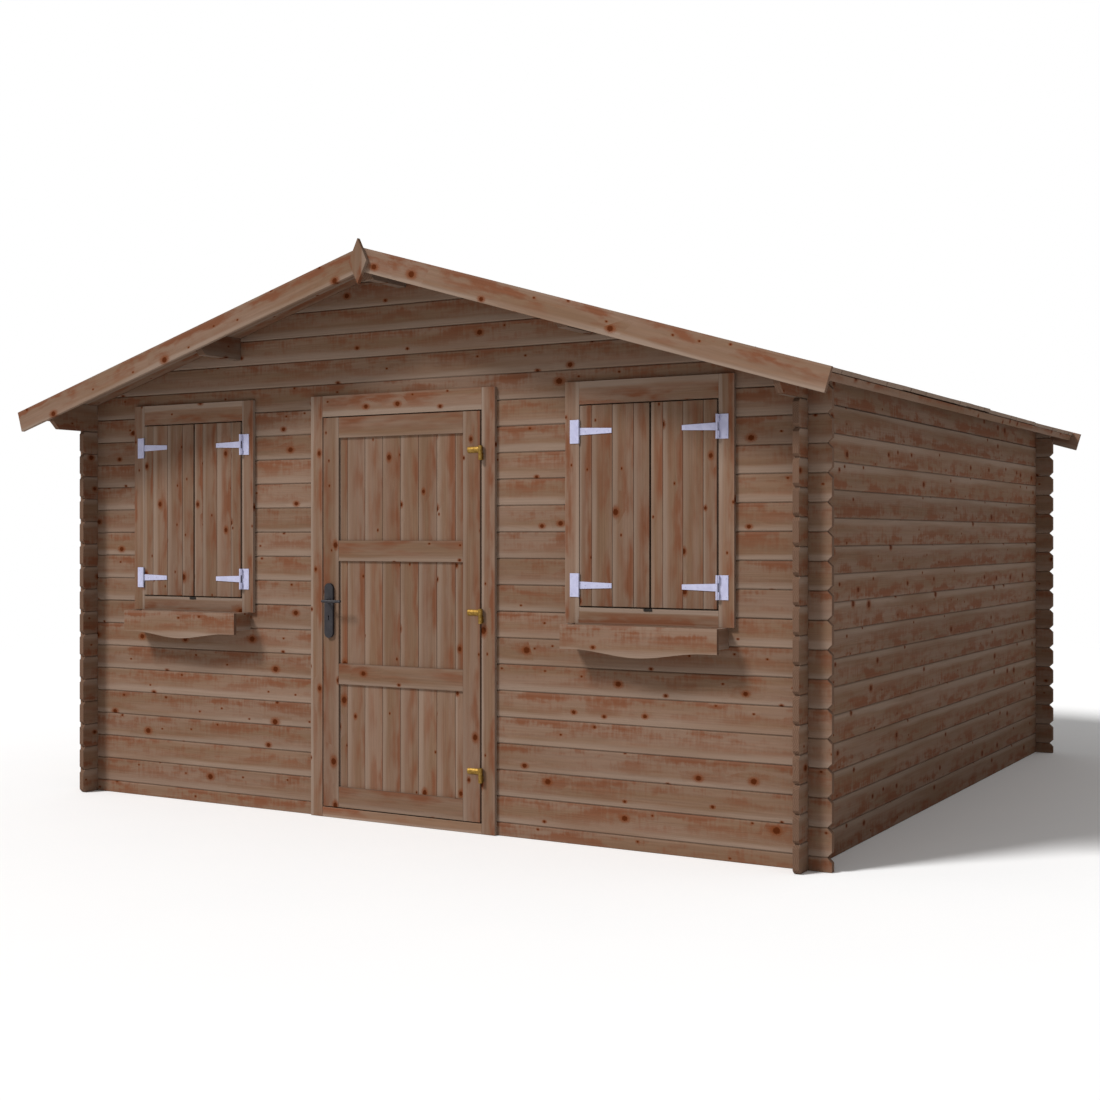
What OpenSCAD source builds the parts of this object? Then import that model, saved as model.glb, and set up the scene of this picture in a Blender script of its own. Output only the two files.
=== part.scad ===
// Log garden house: notched log walls, a low gable roof on purlins, a panelled
// door and two windows with shutters and flower boxes. Millimetres, +Z up.
// The origin is on the ground at the centre of the roof's plan; the door faces -Y.

/* [Log walls] */
// Width between the outer faces of the side walls
house_w = 3980; // [3600:10:4600]
// Depth between the outer faces of the front and rear walls
house_d = 3980; // [3000:10:5200]
// Height of one log course
course_h = 118; // [112:1:124]
// Thickness of a log
log_t = 28; // [24:1:44]
// How far the log ends stand out past the crossing wall
log_end = 100; // [70:5:140]
// Depth of the V groove where two logs meet
groove = 5; // [3:1:7]
// Chamfer on the ends of the front and rear logs
end_chamfer = 21; // [10:1:30]
// Chamfer on the ends of the side logs
side_chamfer = 16; // [10:1:30]
// Play between crossing logs and round the purlins
fit_gap = 0.3; // [0.1:0.1:0.5]

/* [Roof] */
// Slope of the roof in degrees
pitch = 16.5; // [14:0.1:20]
// Front wall to the face of the front barge boards
front_overhang = 320; // [250:10:400]
// Rear wall to the face of the rear barge boards
rear_overhang = 260; // [200:10:400]
// Side wall to the lower ends of the roof boards
eave_overhang = 165; // [120:5:220]
// Thickness of the roof boards
roof_t = 18; // [14:1:22]
// Play between the roof boards and what carries them
seat_gap = 0.2; // [0.1:0.1:0.5]
// Height of the eave log at its outer face
eave_log_h = 131; // [122:1:150]
// Width of a purlin
purlin_w = 45; // [36:1:60]
// Depth of the two middle purlins below the roof boards
purlin_h = 100; // [85:5:120]
// Depth of the ridge purlin below the peak
ridge_purlin_h = 115; // [100:5:170]
// Chamfer under each purlin end
purlin_chamfer = 50; // [30:5:60]
// Chamfer under each eave log end
eave_chamfer = 38; // [20:2:50]
// Width of a barge board
barge_w = 104; // [90:2:130]
// Thickness of a barge board
barge_t = 20; // [16:1:28]
// Height of the barge boards above the roof boards
barge_lip = 4; // [2:1:10]
// Length of the barge boards past the roof boards, along the slope
barge_past = 45; // [20:5:60]
// Width of the diamond finial
finial_w = 100; // [80:5:120]
// Height of the diamond finial
finial_h = 206; // [180:2:240]
// Thickness of the diamond finial
finial_t = 20; // [16:1:28]
// Centre of the finial below the underside of the peak
finial_drop = 43; // [30:1:60]
// Height of the batten under the eave
batten_h = 33; // [25:1:45]
// Thickness of the batten under the eave
batten_t = 18; // [14:1:25]
// Set-back of the batten from the ends of the roof boards
batten_set = 6; // [3:1:15]

/* [Casings and frames] */
// Thickness of the casing boards
casing_t = 18; // [15:1:20]
// Width of the side and bottom casing boards
casing_w = 70; // [60:5:90]
// Height of the head casing
head_casing_h = 100; // [80:5:110]
// How far the casings rise above the tops of the openings
casing_over = 61; // [50:1:68]
// Thickness of the frame linings at the sides of an opening
lining_t = 30; // [25:1:36]

/* [Door] */
// Width of the door leaf
leaf_w = 888; // [800:2:960]
// Thickness of the door leaf
leaf_t = 36; // [32:1:40]
// Distance of the leaf's face in front of the logs
leaf_proud = 20; // [18:1:24]
// Gap at the sides of the leaf
door_gap = 7; // [6:1:10]
// Gap above and below a leaf
leaf_gap = 5; // [5:1:8]
// Height of the sill
sill_h = 47; // [40:1:60]
// Width of the stiles
stile_w = 92; // [80:2:110]
// Height of the four rails
rail_h = 98; // [80:2:110]
// Thickness of the boards in the panels
panel_t = 16; // [12:1:20]
// Set-back of the panels from the face of the frame
panel_set = 9; // [6:1:12]
// Depth of the rebate that holds the panels
panel_rebate = 10; // [6:1:14]
// Width of the door stop
stop_w = 14; // [10:1:20]

/* [Windows] */
// Distance of each window's centre from the middle of the front
window_x = 1280; // [1240:5:1320]
// Width of a pair of shutters
shutter_pair_w = 646; // [600:2:680]
// Width of the left leaf of each pair
shutter_left_w = 336; // [300:2:340]
// Gap where the two leaves meet
meeting_gap = 8; // [8:1:12]
// Thickness of a shutter's boards
shutter_t = 18; // [16:1:20]
// Width of the ledges behind a shutter
ledge_w = 70; // [50:5:90]
// Thickness of the ledges
ledge_t = 14; // [10:1:16]
// Set-back of the ledges from the sides of a shutter
ledge_set = 26; // [20:1:40]
// Distance of the shutter's face in front of the logs
shutter_proud = 24; // [24:1:28]
// Gap round a pair of shutters
shutter_gap = 5; // [5:1:6]
// How far the window casings reach below the openings
casing_under = 41; // [28:1:53]
// Width of the sash members
sash_w = 40; // [30:1:50]
// Thickness of the glass
glass_t = 4; // [3:1:6]
// Depth of the groove that holds the glass
glass_rebate = 6; // [4:1:10]

/* [Flower boxes] */
// How far the window casing reaches past each end of its flower box
box_inset = 31.5; // [10:0.5:60]
// Depth of a flower box from the logs to its front
box_d = 122; // [100:2:180]
// Height of the front board at its ends
box_end_h = 104; // [80:2:120]
// How far the wave of the front board dips in the middle
box_wave = 28; // [15:1:45]
// Straight stretch at each end of the wave
box_flat = 60; // [40:5:120]
// How far the front board hangs below the rest of the flower box
box_lip = 18; // [10:1:30]
// Thickness of the boards of the flower box
box_t = 18; // [12:1:22]
// Space between the casing and the flower box
box_gap = 0.3; // [0.1:0.1:3]

/* [Hardware] */
// Length of a strap on a shutter
strap_l = 160; // [120:5:180]
// Height of a strap at its hinge
strap_root_h = 34; // [28:1:40]
// Height of a strap at its tip
strap_tip_h = 21; // [16:1:26]
// Width of the plate on the casing
plate_w = 41; // [36:1:50]
// Height of the plate on the casing
plate_h = 102; // [96:2:120]
// Thickness of the strap and the plate
plate_t = 3; // [2:0.5:3]
// Radius of the shutter hinge knuckles
knuckle_r = 5; // [4:0.5:5]
// Height of the lower shutter hinges above the foot of the shutters
strap_foot = 90; // [80:2:140]
// Distance of the upper shutter hinges below the top of the shutters
strap_head = 112; // [80:2:140]
// Radius of the door hinge knuckles
barrel_r = 10; // [8:0.5:12]
// Height of a door hinge
barrel_h = 66; // [60:2:90]
// Length of the hinge leaf on the door
hinge_leaf_l = 64; // [40:2:70]
// Height of the hinge leaf on the door
hinge_leaf_h = 28; // [24:1:40]
// Bulge of the half-round hinge leaf
hinge_leaf_t = 8; // [3:1:10]
// Width of the lock plate
lock_w = 50; // [44:1:56]
// Height of the lock plate
lock_h = 260; // [230:5:280]
// Thickness of the lock plate
lock_t = 13; // [8:1:16]
// Length of the lever from its spindle to its tip
lever_l = 108; // [90:2:130]
// Radius of the lever bar
lever_r = 7; // [6:0.5:9]
// Distance of the lever from the lock plate
lever_out = 45; // [35:1:60]
// Height of the lever above the ground
lever_z = 1031; // [950:1:1100]
// Distance from the edge of the leaf to the spindle
backset = 41; // [36:1:50]

/* [Hidden] */
$fn = 48;

wood = [0.50, 0.36, 0.29];
wood_light = [0.60, 0.45, 0.37];
wood_dark = [0.36, 0.26, 0.21];
white_metal = [0.85, 0.85, 0.90];
brass = [0.78, 0.58, 0.22];
dark_metal = [0.22, 0.22, 0.24];
glass = [0.70, 0.80, 0.82, 0.4];

// Slightly longer than any cut needs to be
over = 1;

// Levels of the log courses: the side walls start with a whole log, the front
// and rear walls with half a log, so that the two sets of joints alternate.
side_courses = 16;
side_top = side_courses * course_h;
front_top = (side_courses + 0.5) * course_h;
base_top = (side_courses / 2 + 0.5) * course_h;

// Plan
half_w = house_w / 2;
roof_len = front_overhang + house_d + rear_overhang;
front_y = front_overhang - roof_len / 2;
inner_x = half_w - log_t;
reach_x = half_w + log_end;

// Roof: the underside of the boards meets the eave log's outer top edge
eave_z = side_top + eave_log_h;
ridge_z = eave_z + half_w * tan(pitch);
slope_len = (half_w + eave_overhang) / cos(pitch);
purlin_x = half_w / 2 + purlin_w / 8;
roof_front = barge_t - front_overhang;
roof_back = house_d + rear_overhang - barge_t;

// Openings in the front wall
casing_top = front_top + casing_over;
casing_low = casing_top - head_casing_h;
door_half = leaf_w / 2 + door_gap;
door_open_half = door_half + lining_t;
leaf_z0 = sill_h + leaf_gap;
leaf_z1 = casing_low - leaf_gap;
window_half = shutter_pair_w / 2 + shutter_gap;
window_open_half = window_half + lining_t;
window_sill_z = base_top - casing_under;
window_low = window_sill_z + casing_w;
box_w = 2 * (window_half + casing_w - box_inset);
shutter_z0 = window_low + shutter_gap;
shutter_z1 = casing_low - shutter_gap;
shutter_right_w = shutter_pair_w - meeting_gap - shutter_left_w;

// Hinges
hinge_x = leaf_w / 2 + barrel_r;
hinge_y = -leaf_proud - barrel_r - 2;
hinge_levels = [leaf_z0 + 213, (leaf_z0 + leaf_z1) / 2 + 2, leaf_z1 - 190];
door_pin_r = barrel_r / 2;
shutter_pin_r = knuckle_r / 2;
pin_play = 0.2;
knuckle_play = 0.3;
shutter_pivot_x = shutter_pair_w / 2 + shutter_gap / 2;
shutter_pivot_y = -shutter_proud - knuckle_r - 1;
strap_levels = [shutter_z0 + strap_foot, shutter_z1 - strap_head];

// ---------- placing ----------

// Local Y = 0 is the outer face of the front wall, or of the rear wall
module at_front() { translate([0, front_y, 0]) children(); }
module at_rear() { translate([0, front_y + house_d, 0]) mirror([0, 1, 0]) children(); }
module flip_x(yes) { mirror([yes ? 1 : 0, 0, 0]) children(); }

// Raises a plan given as [X, Z] into a plate from y0 to y1
module plate_y(y0, y1) { translate([0, y1, 0]) rotate([90, 0, 0]) linear_extrude(y1 - y0) children(); }
// Raises a plan given as [Y, Z] into a bar from x0 to x1
module bar_x(x0, x1) { translate([x0, 0, 0]) rotate([90, 0, 90]) linear_extrude(x1 - x0) children(); }

// A board between two corners
module board(low, high) { translate(low) cube(high - low); }

// ---------- logs ----------

// Joints between courses that lie strictly between z0 and z1
function joints(z0, z1, shift) =
    [for (k = [0:side_courses * 2]) let (z = (k + shift) * course_h) if (z > z0 + 1 && z < z1 - 1) z];
function backwards(list) = [for (i = [len(list) - 1:-1:0]) list[i]];
function both(size) = [size, size];

// Cross-section of a stack of logs, as thickness by height, grooved on both faces.
// An edge that is cut has half a groove, and meets the other half on the next stack.
module log_section(z0, z1, shift, low_cut, high_cut) {
    seams = joints(z0, z1, shift);
    low = low_cut ? groove : 0;
    high = high_cut ? groove : 0;
    polygon(concat(
        [[low, z0]],
        [if (low_cut) [0, z0 + low]],
        [for (z = seams) each [[0, z - groove], [groove, z], [0, z + groove]]],
        [if (high_cut) [0, z1 - high]],
        [[high, z1], [log_t - high, z1]],
        [if (high_cut) [log_t, z1 - high]],
        [for (z = backwards(seams)) each
            [[log_t, z + groove], [log_t - groove, z], [log_t, z - groove]]],
        [if (low_cut) [log_t, z0 + low]],
        [[log_t - low, z0]]
    ));
}

// Side outline of a stack whose log ends reach from a to b, chamfered at each seam.
// ends = chamfers of the log ends at a and at b, 0 where the stack has none;
// a low or high edge at a seam is chamfered too.
module log_outline(a, b, z0, z1, shift, ends, low_cut, high_cut) {
    seams = joints(z0, z1, shift);
    ca = ends[0];
    cb = ends[1];
    low = low_cut ? 1 : 0;
    high = high_cut ? 1 : 0;
    polygon(concat(
        [[a + ca * low, z0], [b - cb * low, z0]],
        [if (low_cut && cb > 0) [b, z0 + cb]],
        [if (cb > 0) for (z = seams) each [[b, z - cb], [b - cb, z], [b, z + cb]]],
        [if (high_cut && cb > 0) [b, z1 - cb]],
        [[b - cb * high, z1], [a + ca * high, z1]],
        [if (high_cut && ca > 0) [a, z1 - ca]],
        [if (ca > 0) for (z = backwards(seams)) each [[a, z + ca], [a + ca, z], [a, z - ca]]],
        [if (low_cut && ca > 0) [a, z0 + ca]]
    ));
}

// Notches that take the crossing logs' necks. Front logs keep a neck half a course
// high at their middle, and the side logs fill the space between those necks.
module necks(shift, size_x, size_y) {
    for (k = [0:side_courses + 1])
        translate([0, 0, (k + shift) * course_h])
            cube([size_x, size_y, course_h / 2]);
}

// Stack of front or rear logs from a to b, with local Y = 0 at its outer face
module front_logs(a, b, z0, z1, ends, low_cut = true, high_cut = true) {
    difference() {
        intersection() {
            plate_y(0, log_t) log_outline(a, b, z0, z1, 0.5, ends, low_cut, high_cut);
            bar_x(a, b) log_section(z0, z1, 0.5, low_cut, high_cut);
        }
        for (side = [-1, 1])
            translate([side * (half_w - log_t / 2) - log_t / 2 - fit_gap, -over, 0])
                necks(0.25, log_t + 2 * fit_gap, log_t + 2 * over);
    }
}

// Right-hand side wall, with its outer face at half_w
module side_logs() {
    y0 = -log_end;
    y1 = house_d + log_end;
    difference() {
        intersection() {
            bar_x(inner_x, half_w) log_outline(y0, y1, 0, side_top, 0, both(side_chamfer), true, true);
            translate([half_w, 0, 0]) mirror([1, 0, 0])
                plate_y(y0, y1) log_section(0, side_top, 0, false, true);
        }
        side_notches();
    }
}

// Notches in a side wall for the necks of the front and rear logs
module side_notches() {
    for (y = [0, house_d - log_t])
        translate([inner_x - over, y - fit_gap, 0])
            necks(-0.25, log_t + 2 * over, log_t + 2 * fit_gap);
}

// Front wall beside the door, up to the window: one whole stack of logs
module wall_base(left) {
    color(wood) at_front() flip_x(left)
        front_logs(door_open_half, reach_x, 0, base_top, [0, end_chamfer], false, true);
}
// Front wall beside the window: two stacks
module wall_piers(left) {
    color(wood) at_front() flip_x(left) {
        front_logs(door_open_half, window_x - window_open_half, base_top, front_top, [0, 0]);
        front_logs(window_x + window_open_half, reach_x, base_top, front_top, [0, end_chamfer]);
    }
}
module front_wall_left_base() { wall_base(true); }
module front_wall_right_base() { wall_base(false); }
module front_wall_left_piers() { wall_piers(true); }
module front_wall_right_piers() { wall_piers(false); }

module rear_wall() {
    color(wood) at_rear()
        front_logs(-reach_x, reach_x, 0, front_top, both(end_chamfer), false, true);
}
module left_wall() { color(wood) at_front() flip_x(true) side_logs(); }
module right_wall() { color(wood) at_front() side_logs(); }

// Height of the underside of the roof boards
function under(x) = ridge_z - abs(x) * tan(pitch);

// Gable logs, cut to the slope and slotted for the purlins
module gable() {
    intersection() {
        front_logs(-reach_x, reach_x, front_top, ridge_z + course_h, both(end_chamfer), true, false);
        plate_y(-over, log_t + over) difference() {
            polygon([[-reach_x, under(reach_x)], [0, ridge_z], [reach_x, under(reach_x)],
                     [reach_x, front_top], [-reach_x, front_top]]);
            for (x = [-purlin_x, purlin_x])
                translate([x - purlin_w / 2 - fit_gap, under(purlin_x) - purlin_h - fit_gap])
                    square([purlin_w + 2 * fit_gap, purlin_h + purlin_w]);
            translate([-purlin_w / 2 - fit_gap, ridge_z - ridge_purlin_h - fit_gap])
                square([purlin_w + 2 * fit_gap, ridge_purlin_h + purlin_w]);
        }
    }
}
module front_gable() { color(wood) at_front() gable(); }
module rear_gable() { color(wood) at_rear() gable(); }

// ---------- roof ----------

// Side outline of a timber that runs under the roof, chamfered under both ends
module timber_outline(z0, z1, cut) {
    polygon([[roof_front, z1], [roof_front, z0 + cut], [roof_front + cut, z0],
             [roof_back - cut, z0], [roof_back, z0 + cut], [roof_back, z1]]);
}

// The topmost log of a side wall carries the roof and runs out under its overhangs
module eave_log(left) {
    color(wood) at_front() flip_x(left) difference() {
        intersection() {
            bar_x(inner_x, half_w) timber_outline(side_top, ridge_z, eave_chamfer);
            plate_y(roof_front, roof_back)
                polygon([[inner_x, side_top], [half_w, side_top], [half_w, under(half_w)],
                         [inner_x, under(inner_x)]]);
        }
        side_notches();
    }
}
module eave_log_left() { eave_log(true); }
module eave_log_right() { eave_log(false); }

module purlin(left) {
    low = under(purlin_x) - purlin_h;
    x0 = purlin_x - purlin_w / 2;
    x1 = purlin_x + purlin_w / 2;
    color(wood) at_front() flip_x(left) intersection() {
        bar_x(x0, x1) timber_outline(low, ridge_z, purlin_chamfer);
        plate_y(roof_front, roof_back)
            polygon([[x0, low], [x1, low], [x1, under(x1)], [x0, under(x0)]]);
    }
}
module purlin_left() { purlin(true); }
module purlin_right() { purlin(false); }

module ridge_purlin() {
    low = ridge_z - ridge_purlin_h;
    x1 = purlin_w / 2;
    color(wood) at_front() intersection() {
        bar_x(-x1, x1) timber_outline(low, ridge_z, purlin_chamfer);
        plate_y(roof_front, roof_back)
            polygon([[-x1, low], [x1, low], [x1, under(x1)], [0, ridge_z], [-x1, under(x1)]]);
    }
}

// Point at distance s down the right slope and height n above the boards' underside
function on_slope(s, n) =
    [s * cos(pitch) + n * sin(pitch), ridge_z - s * sin(pitch) + n * cos(pitch)];
// Section of a board on the slope, cut upright at the ridge and square at the eave
module slope_section(s1, n0, n1) {
    polygon([on_slope(-n0 * tan(pitch), n0), on_slope(s1, n0), on_slope(s1, n1),
             on_slope(-n1 * tan(pitch), n1)]);
}

module roof_side(left) {
    color(wood_dark) at_front() flip_x(left)
        plate_y(roof_front, roof_back) slope_section(slope_len, seat_gap, roof_t);
}
module roof_left() { roof_side(true); }
module roof_right() { roof_side(false); }

module eave_battens() {
    s1 = slope_len - batten_set;
    s0 = s1 - batten_t;
    color(wood) at_front() for (left = [true, false]) flip_x(left)
        plate_y(roof_front, roof_back)
            polygon([on_slope(s0, -batten_h), on_slope(s1, -batten_h), on_slope(s1, 0), on_slope(s0, 0)]);
}

// Barge board outside the ends of the roof boards, with local Y = 0 at the wall
module barge(left, overhang) {
    top = roof_t + barge_lip;
    color(wood_light) flip_x(left) plate_y(-overhang, barge_t - overhang)
        slope_section(slope_len + barge_past, top - barge_w, top);
}
module barge_front_left() { at_front() barge(true, front_overhang); }
module barge_front_right() { at_front() barge(false, front_overhang); }
module barge_rear_left() { at_rear() barge(true, rear_overhang); }
module barge_rear_right() { at_rear() barge(false, rear_overhang); }

module finial(overhang) {
    mid = ridge_z - finial_drop;
    color(wood_light) plate_y(-overhang - finial_t, -overhang)
        polygon([[0, mid - finial_h / 2], [finial_w / 2, mid], [0, mid + finial_h / 2],
                 [-finial_w / 2, mid]]);
}
module finials() {
    at_front() finial(front_overhang);
    at_rear() finial(rear_overhang);
}

// ---------- door ----------

// Casing boards round an opening: two full-height sides with boards between them
module casing(half, z0, low, y0) {
    for (side = [-1, 1]) {
        x = side * (half + casing_w / 2);
        board([x - casing_w / 2, y0, z0], [x + casing_w / 2, y0 + casing_t, casing_top]);
    }
    board([-half, y0, casing_low], [half, y0 + casing_t, casing_top]);
    if (low > z0) board([-half, y0, z0], [half, y0 + casing_t, low]);
}

module door_casing() {
    color(wood_light) at_front() {
        casing(door_half, 0, 0, -casing_t);
        casing(door_half, 0, 0, log_t);
    }
}

// Linings in the thickness of the wall with a stop behind the leaf, and the sill
module door_frame() {
    stop_y = leaf_t - leaf_proud + leaf_gap;
    color(wood) at_front() {
        for (side = [-1, 1]) {
            x = side * (door_half + lining_t / 2);
            board([x - lining_t / 2, 0, 0], [x + lining_t / 2, log_t, front_top]);
            sx = side * (door_half - stop_w / 2);
            board([sx - stop_w / 2, stop_y, sill_h], [sx + stop_w / 2, log_t, casing_low]);
        }
        board([-door_half, 0, casing_low], [door_half, log_t, front_top]);
        board([stop_w - door_half, stop_y, casing_low - stop_w], [door_half - stop_w, log_t, casing_low]);
        board([-door_half, -casing_t, 0], [door_half, log_t, sill_h]);
    }
}

// Lower edges of the four rails
rail_step = (leaf_z1 - leaf_z0 - rail_h) / 3;
rail_levels = [for (i = [0:3]) leaf_z0 + i * rail_step];

module door_leaf() {
    in_x = leaf_w / 2 - stile_w;
    color(wood_light) at_front() difference() {
        board([-leaf_w / 2, -leaf_proud, leaf_z0], [leaf_w / 2, leaf_t - leaf_proud, leaf_z1]);
        for (i = [0:2])
            board([-in_x, -leaf_proud - over, rail_levels[i] + rail_h],
                  [in_x, leaf_t - leaf_proud + over, rail_levels[i + 1]]);
        panel_boards();
    }
}

// The three panels, let into grooves in the stiles and rails
module panel_boards() {
    x = leaf_w / 2 - stile_w + panel_rebate;
    y = panel_set - leaf_proud;
    for (i = [0:2])
        board([-x, y, rail_levels[i] + rail_h - panel_rebate],
              [x, y + panel_t, rail_levels[i + 1] + panel_rebate]);
}
module door_panels() { color(wood) at_front() panel_boards(); }

spindle_x = backset - leaf_w / 2;
keyhole_drop = 79;
keyhole_r = 4;
lock_top = 84;

// Plate with round ends, a spindle hole and a keyhole
module door_lock_plate() {
    r = lock_w / 2;
    color(dark_metal) at_front() translate([spindle_x, 0, lever_z])
        plate_y(-leaf_proud - lock_t, -leaf_proud) difference() {
            union() {
                translate([0, lock_top - r]) circle(r);
                translate([0, lock_top - lock_h + r]) circle(r);
                translate([-r, lock_top - lock_h + r]) square([2 * r, lock_h - 2 * r]);
            }
            circle(lever_r + fit_gap);
            translate([0, -keyhole_drop + 6]) circle(keyhole_r);
            translate([-keyhole_r / 2, -keyhole_drop - 12]) square([keyhole_r, 18]);
        }
}

// Spindle, neck and a bar that points to the hinges
module door_lever() {
    out = -leaf_proud - lock_t - lever_out;
    color(dark_metal) at_front() translate([spindle_x, 0, lever_z]) {
        translate([0, out, 0]) rotate([-90, 0, 0]) cylinder(r = lever_r, h = -leaf_proud - fit_gap - out);
        translate([0, out, 0]) rotate([0, 90, 0]) cylinder(r = lever_r, h = lever_l - lever_r);
        translate([0, out, 0]) sphere(lever_r);
        translate([lever_l - lever_r, out, 0]) sphere(lever_r);
    }
}

// Lower knuckle with its foot on the casing, and the pin that carries the door
module door_hinge_posts() {
    knuckle_h = barrel_h / 2 - knuckle_play;
    color(brass) at_front() for (z = hinge_levels) translate([hinge_x, 0, z - barrel_h / 2]) {
        translate([0, hinge_y, 0]) cylinder(r = barrel_r, h = knuckle_h);
        translate([0, hinge_y, 0]) cylinder(r = door_pin_r, h = barrel_h - barrel_r);
        board([-1, hinge_y + barrel_r / 2, 1], [barrel_r - 2, -casing_t, knuckle_h - 1]);
    }
}

// Upper knuckle, bored for the pin, and the half-round leaf on the door
module door_hinge_leaves() {
    reach = barrel_r + hinge_leaf_l;
    round_r = (pow(hinge_leaf_h / 2, 2) + pow(hinge_leaf_t, 2)) / (2 * hinge_leaf_t);
    color(brass) at_front() for (z = hinge_levels) translate([hinge_x, 0, z]) difference() {
        union() {
            translate([0, hinge_y, 0]) cylinder(r = barrel_r, h = barrel_h / 2);
            intersection() {
                translate([-reach, round_r - leaf_proud - hinge_leaf_t, hinge_leaf_h / 2 + 1])
                    rotate([0, 90, 0]) cylinder(r = round_r, h = reach);
                board([-reach - over, -leaf_proud - hinge_leaf_t - over, 0],
                      [over, -leaf_proud, hinge_leaf_h + 2]);
            }
        }
        translate([0, hinge_y, -over])
            cylinder(r = door_pin_r + pin_play, h = barrel_h / 2 - barrel_r + 2 * over);
    }
}

// ---------- windows ----------

module at_windows() { for (x = [-window_x, window_x]) translate([x, 0, 0]) children(); }

module window_casings() {
    color(wood_light) at_front() at_windows() {
        casing(window_half, window_sill_z, window_low, -casing_t);
        casing(window_half, window_sill_z, window_low, log_t);
    }
}

sash_y = shutter_t + ledge_t - shutter_proud + shutter_gap;
sash_back = log_t + casing_t;
glass_y = (sash_y + sash_back - glass_t) / 2;

// Lining in the thickness of the wall, with the fixed sash inside it
module window_frames() {
    color(wood) at_front() at_windows() difference() {
        union() {
            board([-window_open_half, 0, base_top], [window_open_half, log_t, front_top]);
            board([-window_half, sash_y, window_low], [window_half, sash_back, casing_low]);
        }
        board([-window_half, -over, window_low], [window_half, sash_y, casing_low]);
        board([sash_w - window_half, 0, window_low + sash_w],
              [window_half - sash_w, sash_back + over, casing_low - sash_w]);
        pane();
    }
}
module pane() {
    x = window_half - sash_w + glass_rebate;
    board([-x, glass_y, window_low + sash_w - glass_rebate],
          [x, glass_y + glass_t, casing_low - sash_w + glass_rebate]);
}
module window_glass() { color(glass) at_front() at_windows() pane(); }

// Shutter of width w, hinged on the left side of its window, with a ledge behind each strap
module shutter(w) {
    x = -shutter_pair_w / 2;
    back = shutter_t - shutter_proud;
    board([x, -shutter_proud, shutter_z0], [x + w, back, shutter_z1]);
    for (z = strap_levels)
        board([x + ledge_set, back - over, z - ledge_w / 2],
              [x + w - ledge_set, back + ledge_t, z + ledge_w / 2]);
}
module shutter_at(centre, left, w) {
    color(wood) at_front() translate([centre, 0, 0]) flip_x(!left) shutter(w);
}
module shutter_left_outer() { shutter_at(-window_x, true, shutter_left_w); }
module shutter_left_inner() { shutter_at(-window_x, false, shutter_right_w); }
module shutter_right_inner() { shutter_at(window_x, true, shutter_left_w); }
module shutter_right_outer() { shutter_at(window_x, false, shutter_right_w); }

// Tapering strap and its middle knuckle, bored for the pin
module strap() {
    x0 = -shutter_pivot_x;
    y = -shutter_proud;
    difference() {
        union() {
            plate_y(y - plate_t, y)
                polygon([[x0, 1 - strap_root_h / 2], [x0 + strap_l, -strap_tip_h / 2],
                         [x0 + strap_l, strap_tip_h / 2], [x0, strap_root_h / 2 - 1]]);
            translate([x0, shutter_pivot_y, -strap_root_h / 2])
                cylinder(r = knuckle_r, h = strap_root_h);
        }
        translate([x0, shutter_pivot_y, -strap_root_h / 2 - over])
            cylinder(r = shutter_pin_r + pin_play, h = strap_root_h + 2 * over);
    }
}
module straps_at(centre, left) {
    color(white_metal) at_front() translate([centre, 0, 0]) flip_x(!left)
        for (z = strap_levels) translate([0, 0, z]) strap();
}
module straps_left_outer() { straps_at(-window_x, true); }
module straps_left_inner() { straps_at(-window_x, false); }
module straps_right_inner() { straps_at(window_x, true); }
module straps_right_outer() { straps_at(window_x, false); }

// Plate on the casing, running in behind the knuckles above and below the strap's, and the pin
module hinge_plate() {
    x0 = -shutter_pivot_x;
    knuckle_h = (plate_h - strap_root_h) / 2 - knuckle_play;
    translate([x0, shutter_pivot_y, -plate_h / 2]) cylinder(r = shutter_pin_r, h = plate_h);
    board([x0 - knuckle_r - 1 - plate_w, -casing_t - plate_t, -plate_h / 2],
          [x0 - knuckle_r + 2, -casing_t, plate_h / 2]);
    for (z = [-plate_h / 2, plate_h / 2 - knuckle_h]) {
        translate([x0, shutter_pivot_y, z]) cylinder(r = knuckle_r, h = knuckle_h);
        board([x0 - knuckle_r - 1 - plate_t, shutter_pivot_y - plate_t / 2, z + 1],
              [x0 - knuckle_r + 2, -casing_t, z + knuckle_h - 1]);
    }
}
module shutter_hinge_plates() {
    color(white_metal) at_front() at_windows() for (flip = [true, false]) flip_x(flip)
        for (z = strap_levels) translate([0, 0, z]) hinge_plate();
}

stop_plate_w = 40;
stop_plate_h = 11;
stop_plate_past = 11;
module shutter_stops() {
    x = shutter_left_w - shutter_pair_w / 2 + stop_plate_past - stop_plate_w;
    color(dark_metal) at_front() at_windows()
        board([x, -casing_t - plate_t, window_low - stop_plate_h], [x + stop_plate_w, -casing_t, window_low]);
}

// ---------- flower boxes ----------

// Lower edge of the front board: flat ends and one smooth dip between them
function wave(x) =
    let (span = box_w / 2 - box_flat, u = min(abs(x) / span, 1))
    box_end_h + box_wave * (1 + cos(180 * u)) / 2;

module flower_box(centre) {
    top = window_sill_z - box_gap;
    half = box_w / 2;
    low = box_lip - box_end_h;
    steps = 16;
    span = half - box_flat;
    edge = [for (i = [-steps:steps]) let (x = i * span / steps) [x, -wave(x)]];
    color(wood_light) at_front() translate([centre, 0, top]) {
        plate_y(-box_d, box_t - box_d)
            polygon(concat([[-half, 0], [-half, -box_end_h]], edge, [[half, -box_end_h], [half, 0]]));
        difference() {
            board([-half, box_t - box_d, low], [half, 0, 0]);
            board([box_t - half, box_t - box_d - over, low + box_t], [half - box_t, -box_t, over]);
        }
    }
}
module flower_box_left() { flower_box(-window_x); }
module flower_box_right() { flower_box(window_x); }

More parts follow.
